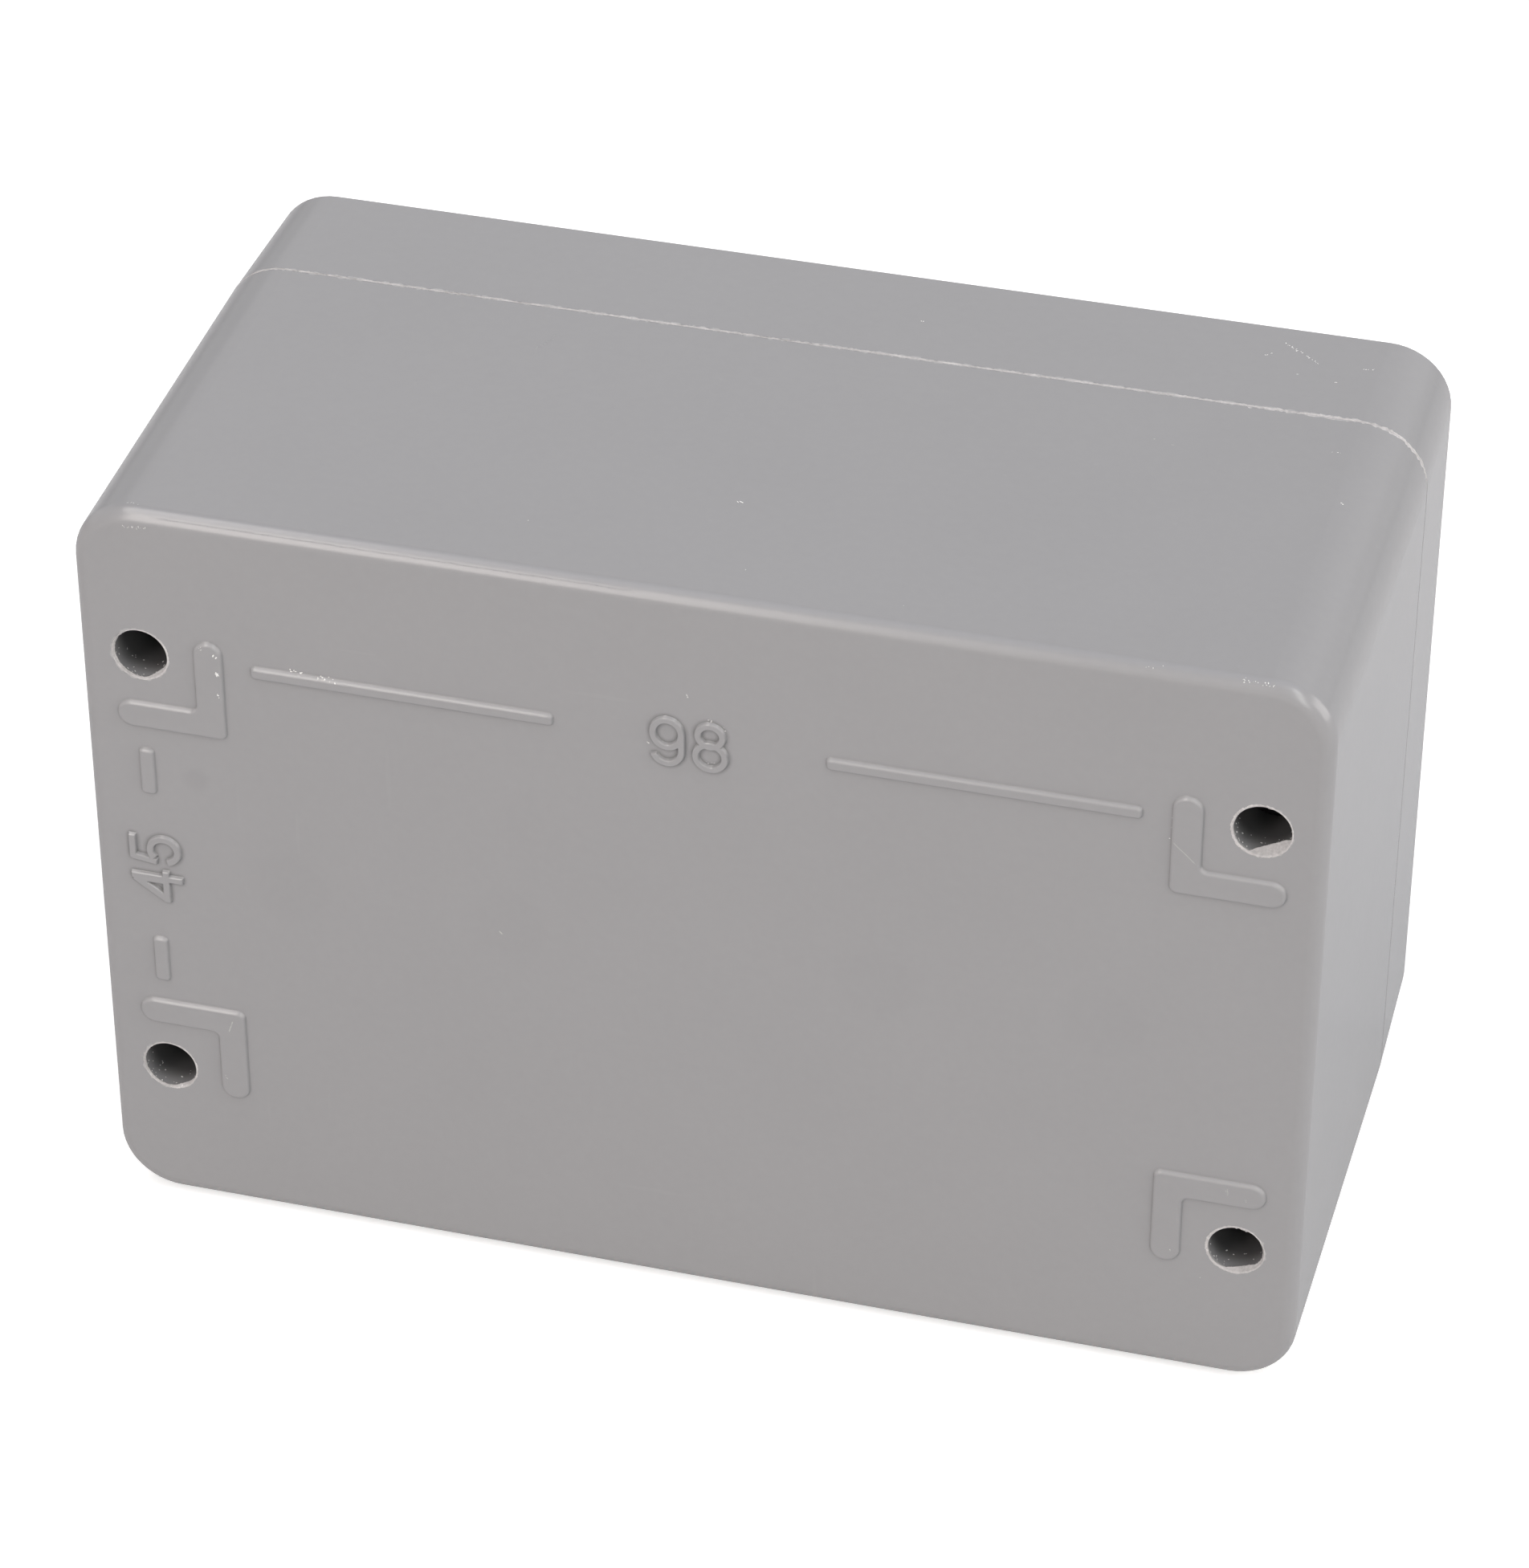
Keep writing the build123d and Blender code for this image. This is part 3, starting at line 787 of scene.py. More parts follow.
def show_mesh(name, points, faces, material, sharp_angle=40.0):
    """A new piece from points in the row's frame, with smooth shading up to an angle."""
    mesh = bpy.data.meshes.new(name)
    mesh.from_pydata([tuple(point) for point in points], [], faces)
    shell = bmesh.new()
    shell.from_mesh(mesh)
    bmesh.ops.recalc_face_normals(shell, faces=shell.faces)
    shell.to_mesh(mesh)
    shell.free()
    mesh.shade_smooth()
    mesh.set_sharp_from_angle(angle=math.radians(sharp_angle))
    mesh.materials.append(material)
    piece = bpy.data.objects.new(name, mesh)
    bpy.context.scene.collection.objects.link(piece)
    return piece


def loop_faces(rows, columns):
    """Faces of a grid of points that closes on itself in both directions."""
    faces = []
    for row in range(rows):
        for column in range(columns):
            beside, above = (column + 1) % columns, (row + 1) % rows
            faces.append((row * columns + column, row * columns + beside,
                          above * columns + beside, above * columns + column))
    return faces


def finish_node(name, material):
    """Gives a solid of the frame its material."""
    node = frame["nodes"][name]
    node.data.materials.clear()
    node.data.materials.append(material)


# Figures


class Line:
    """A straight stroke of a figure, square at its ends."""

    def __init__(self, *ends):
        self.start, self.end = Vector(ends[:2]), Vector(ends[2:])
        self.low = Vector(map(min, self.start, self.end))
        self.high = Vector(map(max, self.start, self.end))

    def gap(self, across, up, half_width):
        along = (self.end - self.start).normalized()
        length = (self.end - self.start).length
        dx, dy = across - self.start.x, up - self.start.y
        run = dx * along.x + dy * along.y
        side = np.abs(dy * along.x - dx * along.y)
        return np.maximum(side, np.maximum(-run, run - length) + half_width)


class Arc:
    """An elliptical stroke between two angles, in degrees, square at its ends."""

    def __init__(self, x, y, radius_x, radius_y, start=0.0, sweep=360.0):
        self.centre, self.radii = Vector((x, y)), (radius_x, radius_y)
        self.start, self.sweep = math.radians(start), math.radians(sweep)
        self.low = self.centre - Vector(self.radii)
        self.high = self.centre + Vector(self.radii)

    def gap(self, across, up, half_width):
        dx, dy = across - self.centre.x, up - self.centre.y
        share = np.maximum(np.hypot(dx / self.radii[0], dy / self.radii[1]), 1e-6)
        slope = np.hypot(dx / self.radii[0] ** 2, dy / self.radii[1] ** 2) / share
        side = np.abs(share - 1) / np.maximum(slope, 1e-6)
        if self.sweep >= 2 * math.pi:
            return side
        angle = np.arctan2(dy / self.radii[1], dx / self.radii[0])
        middle = self.start + self.sweep / 2
        turned = np.abs((angle - middle + math.pi) % (2 * math.pi) - math.pi)
        beyond = (turned - self.sweep / 2) * sum(self.radii) / 2
        return np.maximum(side, beyond + half_width)


# Strokes in millimetres from the middle of the back, as the picture shows it
NINETY_EIGHT = [
    Arc(-1.91, 23.02, 1.25, 1.37),
    Line(-0.66, 21.3, -0.66, 23.0),
    Arc(-1.92, 21.32, 1.26, 1.32, -158.0, 160.0),
    Arc(1.86, 23.37, 1.08, 1.03),
    Arc(1.86, 21.26, 1.28, 1.25),
]
FORTY_FIVE = [
    Line(-51.25, -1.22, -46.45, -1.22),
    Line(-48.01, -3.75, -48.01, -0.42),
    Line(-51.0, -1.42, -47.95, -3.50),
    Line(-50.6, -1.55, -47.95, -3.36),
    Line(-51.0, -1.44, -48.0, -1.44),
    Line(-50.94, 0.66, -50.94, 3.2),
    Line(-51.1, 0.90, -48.72, 0.57),
    Arc(-48.05, 1.81, 1.27, 1.24, -79.0, 304.0),
]

# Figures: the piece's name, its strokes, and their growth on both sides in millimetres
FIGURES = (("figures_98", NINETY_EIGHT, 0.0), ("figures_45", FORTY_FIVE, 0.03))
SINK_IN_WALL = 0.08 * MM
FIGURE_ANGLE = 80.0
MARGIN_STEPS, SKIRT_STEPS = 4, 2


def relief_mesh(name, strokes, growth, sizes, material):
    """Raised strokes as one closed mesh, with soft sloping sides and a flat underside in the wall.
    The growth, in millimetres, widens every stroke on both sides."""
    half_top, half_foot = (width / 2 / MM + growth for width in (sizes.top_width, sizes.foot_width))
    step = sizes.step / MM
    low = Vector(map(min, *(stroke.low for stroke in strokes)))
    high = Vector(map(max, *(stroke.high for stroke in strokes)))
    margin = half_foot + MARGIN_STEPS * step
    across = np.arange(low.x - margin, high.x + margin, step)
    up = np.arange(low.y - margin, high.y + margin, step)
    grid_across, grid_up = np.meshgrid(across, up, indexing="ij")
    middle = (half_top + half_foot) / 2
    gap = np.min([stroke.gap(grid_across, grid_up, middle) for stroke in strokes], axis=0)
    share = np.clip((half_foot - gap) / (half_foot - half_top), 0, 1)
    height = sizes.relief * share * share * (3 - 2 * share)
    skirt = SKIRT_STEPS * step
    height -= np.clip((gap - half_foot) / skirt, 0, 1) * SINK_IN_WALL / 2
    inside = gap < half_foot + skirt
    cells = inside[:-1, :-1] & inside[1:, :-1] & inside[1:, 1:] & inside[:-1, 1:]
    count = grid_across.size
    number = np.arange(count).reshape(grid_across.shape)
    top = np.stack([-grid_across.ravel() * MM, BACK + height.ravel(), MIDDLE + grid_up.ravel() * MM], axis=1)
    under = top.copy()
    under[:, 1] = BACK - SINK_IN_WALL
    corners = np.stack([number[:-1, :-1], number[1:, :-1], number[1:, 1:], number[:-1, 1:]], axis=-1)[cells]
    faces = corners.tolist() + (corners[:, ::-1] + count).tolist()
    edges = {}
    for face in corners.tolist():
        for first, second in zip(face, face[1:] + face[:1]):
            edges.pop((second, first), None) or edges.update({(first, second): True})
    faces += [[second, first, first + count, second + count] for first, second in edges]
    points = np.concatenate([top, under])
    used = sorted({index for face in faces for index in face})
    renumber = {index: new_index for new_index, index in enumerate(used)}
    faces = [tuple(renumber[index] for index in face) for face in faces]
    return show_mesh(name, points[used], faces, material, sharp_angle=FIGURE_ANGLE)


# Flash

# How each hole's film broke, in millimetres and degrees: the opening's shift across and up and its
# radius, the direction of the film that is left, how far its edge lies from the axis, how softly
# that edge runs into the opening, and the shift across and the radius of the torn lip
HOLE_BREAKS = {
    (1, 1): (0.12, 0.07, 2.43, -48.0, 2.26, 0.16, 0.14, 2.62),
    (-1, 1): (0.02, 0.00, 2.47, -63.0, 1.53, 0.09, -0.10, 2.76),
    (-1, -1): (-0.11, 0.05, 2.43, -72.0, 2.06, 0.24, -0.16, 2.73),
    (1, -1): (0.07, 0.06, 2.44, -60.0, 2.28, 0.16, 0.09, 2.64),
}
RING_POINTS = 360
FLASH_ANGLE = 75.0

# Grain of the torn edges: a level in the noise and a scale for a hole's ring, and a scale and a
# seed for the parting line, each for the fine, the coarse and the chipped or tongued unevenness
HOLE_GRAINS = ((0.0, 13.0), (3.0, 2.6), (9.0, 3.3))
SEAM_GRAINS = ((3000.0, 3), (420.0, 7), (900.0, 11))

# Radii of a hole's flash where it starts, crests and roots, and the depths of its film
LIP_START, LIP_CREST = HOLE_RADIUS + 0.05 * MM, HOLE_RADIUS + 0.03 * MM
FILM_START, FILM_ROOT = HOLE_RADIUS - 0.02 * MM, HOLE_RADIUS + 0.06 * MM
WIDEST_OPENING = HOLE_RADIUS - 0.03 * MM
FILM_FADE = 0.4 * MM
FILM_LEAST, FILM_SWING = 0.06 * MM, 0.02 * MM
EDGE_THICKNESS, ROOT_THICKNESS = 0.09 * MM, 0.14 * MM
CREST_HEIGHT, CREST_SWING = 0.035 * MM, 0.025 * MM
LIP_SUNK = 0.03 * MM
STEEPEST_LEAN = 0.05
CHIP_FROM, CHIP_SIZE = 0.35, 4.5

# The flash on the parting line grows evenly towards one end, and more over its last stretch
EVEN_GROWTH, LAST_GROWTH = 0.32, 0.9
LAST_START, LAST_RUN = 36.0 * MM, 9.0 * MM
SEAM_PROUD, SEAM_SUNK, SEAM_ROOT = 0.012 * MM, 0.05 * MM, 0.22 * MM
SEAM_SHARE_LIMITS = (0.12, 1.7)
SEAM_LIP = 0.006 * MM
TONGUE_FROM, TONGUE_SIZE = 0.42, 2.6
RUBBED_SHARE = 0.96


def between(value, low=0.0, high=1.0):
    return min(max(value, low), high)


# Shift of the noise for each seed, and its roughness, the ratio of its scales and their number
SEED_SHIFT = (17.3, 5.1, 9.7)
NOISE_KIND = (0.9, 2.1, 4)


def rough_value(spot, scale, seed):
    """Fractal noise about 0, near -1 to 1, at a spot."""
    point = Vector(spot) * scale + Vector([seed * shift for shift in SEED_SHIFT])
    return noise.fractal(point, *NOISE_KIND)


def hole_flash(name, corner, sizes, material):
    """Ragged lip round a fixing hole, with what is left of the film that closed it."""
    (shift_across, shift_up, opening_radius, film_angle,
     film_edge, soft, lip_shift, lip_radius) = HOLE_BREAKS[corner]
    seed = 1 + CORNERS.index(corner)
    centre = Vector((corner[0] * HOLE_X, BACK, MIDDLE + corner[1] * HOLE_Z))
    shift = Vector((shift_across, shift_up)) * MM
    soft *= MM
    rows = [[] for _ in range(8)]
    for index in range(RING_POINTS):
        angle = 2 * math.pi * index / RING_POINTS
        ray = Vector((math.cos(angle), math.sin(angle)))
        fine, coarse, chip = (rough_value((ray.x, ray.y, level), scale, seed) for level, scale in HOLE_GRAINS)

        # the torn opening, with the film's straight edge run softly into it
        along = ray.dot(shift)
        opening = along + math.sqrt(along ** 2 - shift.length_squared + (opening_radius * MM) ** 2)
        opening = min(opening, WIDEST_OPENING)
        lean = max(math.cos(angle - math.radians(film_angle)), STEEPEST_LEAN)
        chord = min(film_edge * MM / lean, 3 * WIDEST_OPENING)
        edge = -soft * math.log(math.exp(-opening / soft) + math.exp(-chord / soft))
        film = between((WIDEST_OPENING - edge) / FILM_FADE)
        edge = min(edge + sizes.raggedness * (0.48 * fine + 0.25 * coarse), WIDEST_OPENING)
        edge -= sizes.raggedness * CHIP_SIZE * max(chip - CHIP_FROM, 0.0) * (1 - film) * max(ray.y, 0.0)

        rim = lip_radius * MM + lip_shift * MM * ray.x + sizes.lip_width * (0.30 * coarse + 0.35 * fine)
        crest = CREST_HEIGHT + CREST_SWING * fine
        deep = sizes.film_depth * film + FILM_LEAST
        section = [
            (max(rim, LIP_START), -LIP_SUNK),
            (LIP_CREST, crest),
            (FILM_START, crest * 0.5),
            (edge + (FILM_START - edge) * 0.8, -deep * 0.55),
            (edge + (FILM_START - edge) * 0.35, -deep * 0.85 + FILM_SWING * coarse),
            (edge, -deep + FILM_SWING * fine),
            (edge + FILM_SWING, -deep - EDGE_THICKNESS),
            (FILM_ROOT, -deep - ROOT_THICKNESS),
        ]
        for row, (radius, height) in zip(rows, section):
            row.append(centre + Vector((-ray.x * radius, height, ray.y * radius)))
    points = [point for row in rows for point in row]
    return show_mesh(name, points, loop_faces(len(rows), RING_POINTS), material, sharp_angle=FLASH_ANGLE)


def outline_stations(step):
    """Points and outward directions round the box at the parting plane."""
    half_x = (BASE_HIGH.x - BASE_LOW.x) / 2 - CORNER_RADIUS
    half_z = (BASE_HIGH.z - BASE_LOW.z) / 2 - CORNER_RADIUS
    middle = (BASE_HIGH.z + BASE_LOW.z) / 2
    stations = []
    for quarter, (side_x, side_z) in enumerate(CORNERS):
        start_angle = quarter * math.pi / 2
        turn_steps = round(CORNER_RADIUS * math.pi / 2 / step)
        corner = Vector((side_x * half_x, 0.0, middle + side_z * half_z))
        for index in range(turn_steps):
            angle = start_angle + math.pi / 2 * index / turn_steps
            outward = Vector((math.cos(angle), 0.0, math.sin(angle)))
            stations.append((corner + outward * CORNER_RADIUS, outward))
        end_angle = start_angle + math.pi / 2
        outward = Vector((math.cos(end_angle), 0.0, math.sin(end_angle)))
        length = 2 * (half_x if quarter % 2 == 0 else half_z)
        direction = Vector((-outward.z, 0.0, outward.x))
        run_steps = round(length / step)
        for index in range(run_steps):
            run = direction * length * index / run_steps
            stations.append((corner + outward * CORNER_RADIUS + run, outward))
    return stations


def flash_left(point):
    """Share of the flash that is left at a place: it is rubbed off down the two short sides."""
    low_enough = between((RUBBED_BELOW - point.z) / RUBBED_FADE)
    worn = low_enough * between((abs(point.x) - RUBBED_FROM) / (RUBBED_TO - RUBBED_FROM))
    return 1.0 - RUBBED_SHARE * worn


def seam_flash(name, side, sizes, material):
    """Ragged flash on one moulding's rim, on the side of the parting plane that it lies."""
    rows = [[] for _ in range(6)]
    for point, outward in outline_stations(sizes.seam_step):
        fine, coarse, tongue = (rough_value(point, scale, seed + side) for scale, seed in SEAM_GRAINS)
        growth = 1.0 - EVEN_GROWTH * point.x / BASE_HIGH.x
        growth += LAST_GROWTH * between((-point.x - LAST_START) / LAST_RUN)
        left = flash_left(point)
        share = between(0.62 + 0.42 * coarse + 0.55 * fine, *SEAM_SHARE_LIMITS)
        reach = sizes.seam_width * (growth * share + TONGUE_SIZE * max(tongue - TONGUE_FROM, 0.0)) * left
        proud = SEAM_PROUD * (0.4 + fine) * left - SEAM_SUNK * (1.0 - left)
        section = [
            (reach, -SEAM_PROUD),
            (reach * 0.7, proud),
            (0.04 * MM, -0.01 * MM + proud - 0.03 * MM * abs(coarse)),
            (SEAM_LIP, -SEAM_SUNK - 0.03 * MM * abs(fine)),
            (SEAM_LIP, -SEAM_ROOT),
            (reach, -SEAM_ROOT),
        ]
        for row, (along, offset) in zip(rows, section):
            spot = point + outward * offset
            spot.y = PARTING + side * along
            row.append(spot)
    points = [point for row in rows for point in row]
    faces = loop_faces(len(rows), len(rows[0]))
    return show_mesh(name, points, faces, material, sharp_angle=FLASH_ANGLE)


# Flecks of resin that lie on the mouldings: across and up, or across and behind, for the two ends
# of a run in millimetres, how many lie along it, and their size
BACK_FLECKS = [
    (-42.0, 23.8, -41.95, 23.6, 3, 0.10),
    (-41.95, 22.15, -41.9, 21.75, 5, 0.09),
    (-41.94, 19.8, -41.9, 19.5, 3, 0.06),
    (-43.4, 24.2, -43.2, 24.6, 5, 0.026),
    (-35.4, 23.4, -34.4, 23.2, 7, 0.07),
    (-32.8, 23.2, -31.2, 23.0, 8, 0.06),
    (41.4, 20.1, 41.4, 22.6, 3, 0.04),
    (47.9, -15.7, 47.95, -16.2, 7, 0.025),
    (49.55, -16.4, 49.7, -16.8, 3, 0.024),
    (43.2, -23.4, 43.3, -23.6, 3, 0.026),
    (-43.75, -22.3, -43.5, -22.6, 3, 0.026),
    (-0.2, 27.15, -0.2, 26.9, 4, 0.035),
    (1.7, 24.85, 1.95, 25.0, 4, 0.04),
    (2.8, 24.6, 3.3, 23.9, 3, 0.035),
    (1.4, 20.6, 2.3, 20.5, 6, 0.032),
    (-3.6, 21.7, -3.5, 21.6, 2, 0.04),
    (46.0, -26.3, 46.0, -26.3, 1, 0.04),
    (46.3, 36.8, 47.7, 36.8, 9, 0.05),
    (48.2, 36.85, 49.2, 36.7, 7, 0.045),
    (38.0, 36.8, 40.2, 36.8, 4, 0.035),
    (-49.8, 35.5, -47.6, 35.6, 18, 0.033),
]
TOP_FLECKS = [
    (-49.8, -1.35, -48.8, -1.4, 8, 0.033),
    (0.43, -14.8, 0.5, -14.8, 2, 0.08),
    (49.4, -27.9, 49.75, -27.6, 4, 0.05),
    (47.2, -35.4, 48.2, -35.5, 4, 0.04),
    (40.0, -52.2, 41.8, -50.9, 12, 0.065),
    (42.2, -50.6, 43.6, -49.3, 9, 0.05),
    (45.4, -46.9, 45.7, -46.7, 2, 0.045),
    (47.4, -49.4, 48.4, -49.8, 5, 0.045),
    (38.5, -49.6, 39.3, -50.2, 5, 0.05),
    (8.1, -47.3, 8.3, -47.2, 2, 0.05),
    (-20.0, -8.0, 20.0, -3.0, 5, 0.03),
]
FLECKS_PER_HOLE = 34
DEEPEST_FLECK = 2.6 * MM
LEAST_SCATTER = 0.07
FLECK_SEED = 98
FLECK_LENGTHS, FLECK_WIDTHS, FLECK_HEIGHT = (0.7, 1.7), (0.5, 0.9), 0.45
FLECK_ROUGHNESS = 0.35


def surface_under(node, start, direction):
    """Where a line first meets a moulding, and the direction in which the moulding faces there."""
    found, point, facing, _ = frame["nodes"][node].ray_cast(start, direction)
    if not found:
        raise RuntimeError(f"No surface of {node} lies under a fleck")
    return point, facing


def fleck_places(chance):
    """Surface places, facings and sizes of all the flecks, by the moulding that they lie on."""
    places = {"base": [], "lid": []}
    for runs, outward in ((BACK_FLECKS, Vector((0, 1, 0))), (TOP_FLECKS, Vector((0, 0, 1)))):
        for across, along, across_end, along_end, count, size in runs:
            for index in range(count):
                share = (index + chance.random()) / count
                scatter = chance.normal(0.0, max(1.2 * size, LEAST_SCATTER), 2)
                x = across + (across_end - across) * share + scatter[0]
                other = along + (along_end - along) * share + scatter[1]
                spot = on_back(x, other) if outward.y else on_top(x, other)
                node = "lid" if spot.y < PARTING else "base"
                point, facing = surface_under(node, spot + outward * 2 * MM, -outward)
                places[node].append((point, facing, size * (0.8 + 0.8 * chance.random())))
    for side_x, side_z in CORNERS:
        for _ in range(FLECKS_PER_HOLE):
            angle = math.pi * (1.05 + 0.9 * chance.random())
            outward = Vector((math.cos(angle), 0.0, math.sin(angle)))
            depth = (0.15 + 0.85 * chance.random() ** 2) * DEEPEST_FLECK
            axis = Vector((side_x * HOLE_X, BACK - depth, MIDDLE + side_z * HOLE_Z))
            point, facing = surface_under("base", axis, outward)
            places["base"].append((point, facing, 0.05 + 0.06 * chance.random() ** 2))
    return places


def fleck_mesh(name, places, chance, material):
    """Small uneven flecks, each a closed lump sunk a little into the surface."""
    lump = bmesh.new()
    bmesh.ops.create_icosphere(lump, subdivisions=1, radius=1.0)
    corners = [vertex.co.copy() for vertex in lump.verts]
    lump_faces = [tuple(vertex.index for vertex in face.verts) for face in lump.faces]
    lump.free()
    points, faces = [], []
    for point, facing, size in places:
        turn = facing.to_track_quat("Z", "Y") @ Quaternion((0, 0, 1), chance.uniform(0, math.pi))
        stretch = (size * chance.uniform(*FLECK_LENGTHS), size * chance.uniform(*FLECK_WIDTHS),
                   size * FLECK_HEIGHT)
        start = len(points)
        for corner in corners:
            rough = 1.0 + FLECK_ROUGHNESS * chance.uniform(-1, 1)
            shaped = Vector([side * factor for side, factor in zip(corner, stretch)])
            points.append(point + turn @ (shaped * rough * MM))
        faces += [tuple(start + index for index in face) for face in lump_faces]
    return show_mesh(name, points, faces, material)


# Turned pieces


ROOT_FLAT, FLANK = 0.14, 0.70
TURNED_ANGLE = 32.0


def thread_share(y, angle, pitch):
    """Height of a right-hand thread at a place on it, 0 in the root and 1 on the crest."""
    turn = (y / pitch + angle / (2 * math.pi)) % 1.0
    return between((abs(2 * turn - 1) - ROOT_FLAT) / FLANK)


def turned_mesh(name, centre, profile, material, segments):
    """A piece turned about an axis along Y. A profile row is a place along Y and a radius, which is
    a number or a function of the place and the angle; the first and last rows lie on the axis."""
    points = [Vector((centre.x, profile[0][0], centre.z))]
    inner_rows = profile[1:-1]
    for y, radius in inner_rows:
        for index in range(segments):
            angle = 2 * math.pi * index / segments
            reach = radius(y, angle) if callable(radius) else radius
            points.append(Vector((centre.x + reach * math.cos(angle), y, centre.z + reach * math.sin(angle))))
    points.append(Vector((centre.x, profile[-1][0], centre.z)))
    last = len(points) - 1
    faces = []
    for index in range(segments):
        beside = (index + 1) % segments
        faces.append((0, 1 + beside, 1 + index))
        faces.append((last, last - segments + index, last - segments + beside))
        for row in range(len(inner_rows) - 1):
            start = 1 + row * segments
            above = start + segments
            faces.append((start + index, start + beside, above + beside, above + index))
    return show_mesh(name, points, faces, material, sharp_angle=TURNED_ANGLE)


def rows_between(start, end, step, radius):
    """Evenly spaced profile rows from one place to another."""
    count = max(2, round(abs(end - start) / step))
    return [(start + (end - start) * index / count, radius) for index in range(count + 1)]


ROWS_PER_TURN = 14
THREAD_DEPTH_SHARE = 0.54
THREAD_FIT = 0.045 * MM

# Lid screw, in places measured from its box and sizes of its own
HEAD_HEIGHT = 2.6 * MM
HEAD_RADIUS = 3.5 * MM
HEAD_EDGE = 0.3 * MM
HEAD_BEVEL = 0.08 * MM
SEAT_GAP = 0.01 * MM
NECK_RADIUS = 1.5 * MM
THREAD_LENGTH = 6.0 * MM
TIP_BEVEL = 0.5 * MM
SLOT_HALF_WIDTH = 0.6 * MM
SLOT_DEPTH = 1.1 * MM
NECK_FILLET = 0.15 * MM


def lid_screw(number, sizes, material):
    """Cheese-head captive screw with its waisted neck and thread."""
    node = f"lid_screw_{number}"
    low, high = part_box(node)
    centre = (low + high) / 2
    crest = sizes.lid_diameter / 2
    root = crest - THREAD_DEPTH_SHARE * sizes.lid_pitch
    shoulder = high.y - THREAD_LENGTH
    seat = low.y + HEAD_HEIGHT - SEAT_GAP

    def thread(y, angle):
        taper = min((high.y - y) / TIP_BEVEL, 1.0)
        start = min((y - shoulder) / (0.4 * sizes.lid_pitch), 1.0)
        reach = root + (crest - root) * thread_share(y, angle, sizes.lid_pitch) * start
        return min(reach, crest - (1 - taper) * TIP_BEVEL)

    profile = [(low.y, 0.0), (low.y, HEAD_RADIUS * 0.5), (low.y, HEAD_RADIUS - HEAD_EDGE)]
    profile += [(low.y + HEAD_EDGE * 0.3, HEAD_RADIUS - HEAD_EDGE * 0.25), (low.y + HEAD_EDGE, HEAD_RADIUS)]
    profile += [(seat - HEAD_BEVEL, HEAD_RADIUS), (seat, HEAD_RADIUS - HEAD_BEVEL)]
    profile += [(seat, NECK_RADIUS + NECK_FILLET), (seat + NECK_FILLET, NECK_RADIUS)]
    profile += rows_between(shoulder - 0.5 * MM, shoulder - 0.02 * MM, 0.25 * MM, NECK_RADIUS)
    profile += rows_between(shoulder, high.y, sizes.lid_pitch / ROWS_PER_TURN, thread)
    profile += [(high.y, 0.0)]
    screw = turned_mesh(f"captive_screw_{number}", centre, profile, material, sizes.segments)
    cut_slot(screw, centre, low.y)
    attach(screw, f"screw_{number}")
    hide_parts(node)


def cut_slot(screw, centre, face):
    """Mills the driver slot across the head."""
    cutter_mesh = bpy.data.meshes.new("slot_cutter")
    cutter_shape = bmesh.new()
    bmesh.ops.create_cube(cutter_shape, size=2.0)
    cutter_shape.to_mesh(cutter_mesh)
    cutter_shape.free()
    cutter = bpy.data.objects.new("slot_cutter", cutter_mesh)
    bpy.context.scene.collection.objects.link(cutter)
    cutter.scale = (HEAD_RADIUS * 1.5, SLOT_DEPTH, SLOT_HALF_WIDTH)
    cutter.location = (centre.x, face, centre.z)
    cut = screw.modifiers.new("slot", "BOOLEAN")
    cut.operation, cut.object, cut.solver = "DIFFERENCE", cutter, "EXACT"
    bpy.context.view_layer.update()
    shaped = screw.evaluated_get(bpy.context.evaluated_depsgraph_get())
    milled = bpy.data.meshes.new_from_object(shaped)
    screw.modifiers.clear()
    screw.data = milled
    milled.shade_smooth()
    milled.set_sharp_from_angle(angle=math.radians(TURNED_ANGLE))
    bpy.data.objects.remove(cutter)


# Brass inserts: bevels, knurl, the waist in the middle and the smooth collar at the mouth
INSERT_BEVEL = 0.2 * MM
MOUTH_BEVEL = 0.35 * MM
KNURL_DEPTH, KNURL_STEP = 0.10 * MM, 0.05 * MM
WAIST_HALF, WAIST_DEPTH = 0.75 * MM, 0.4 * MM
COLLAR = 0.5 * MM
LID_INSERT_FLOOR, PLATE_INSERT_FLOOR = 1.0 * MM, 0.8 * MM


def insert(node, name, crest, pitch, floor_thickness, material, segments):
    """Brass insert, knurled outside and threaded inside, open towards the lid."""
    low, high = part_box(node)
    centre = (low + high) / 2
    outside = (high.x - low.x) / 2
    root = crest - THREAD_DEPTH_SHARE * pitch

    def knurl(_, angle):
        tooth = round(angle * segments / (2 * math.pi)) % 2
        return outside - KNURL_DEPTH * tooth

    def thread(y, angle):
        reach = root + (crest - root) * thread_share(y, angle, pitch) + THREAD_FIT
        return max(reach, crest + MOUTH_BEVEL - (y - low.y))

    middle, waist = centre.y, outside - WAIST_DEPTH
    bore_end = high.y - floor_thickness
    profile = [(high.y, 0.0), (high.y, outside - INSERT_BEVEL), (high.y - INSERT_BEVEL, outside)]
    profile += [(high.y - INSERT_BEVEL - KNURL_STEP, knurl), (middle + WAIST_HALF, knurl)]
    profile += [(middle + WAIST_HALF * 0.7, waist), (middle - WAIST_HALF * 0.7, waist)]
    profile += [(middle - WAIST_HALF, knurl), (low.y + COLLAR + KNURL_STEP, knurl)]
    profile += [(low.y + COLLAR, outside), (low.y, outside)]
    profile += rows_between(low.y, bore_end, pitch / ROWS_PER_TURN, thread)
    profile += [(bore_end, crest * 0.7), (bore_end + crest * 0.3, 0.0)]
    piece = turned_mesh(name, centre, profile, material, segments)
    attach(piece, "base")
    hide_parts(node)


# Stage


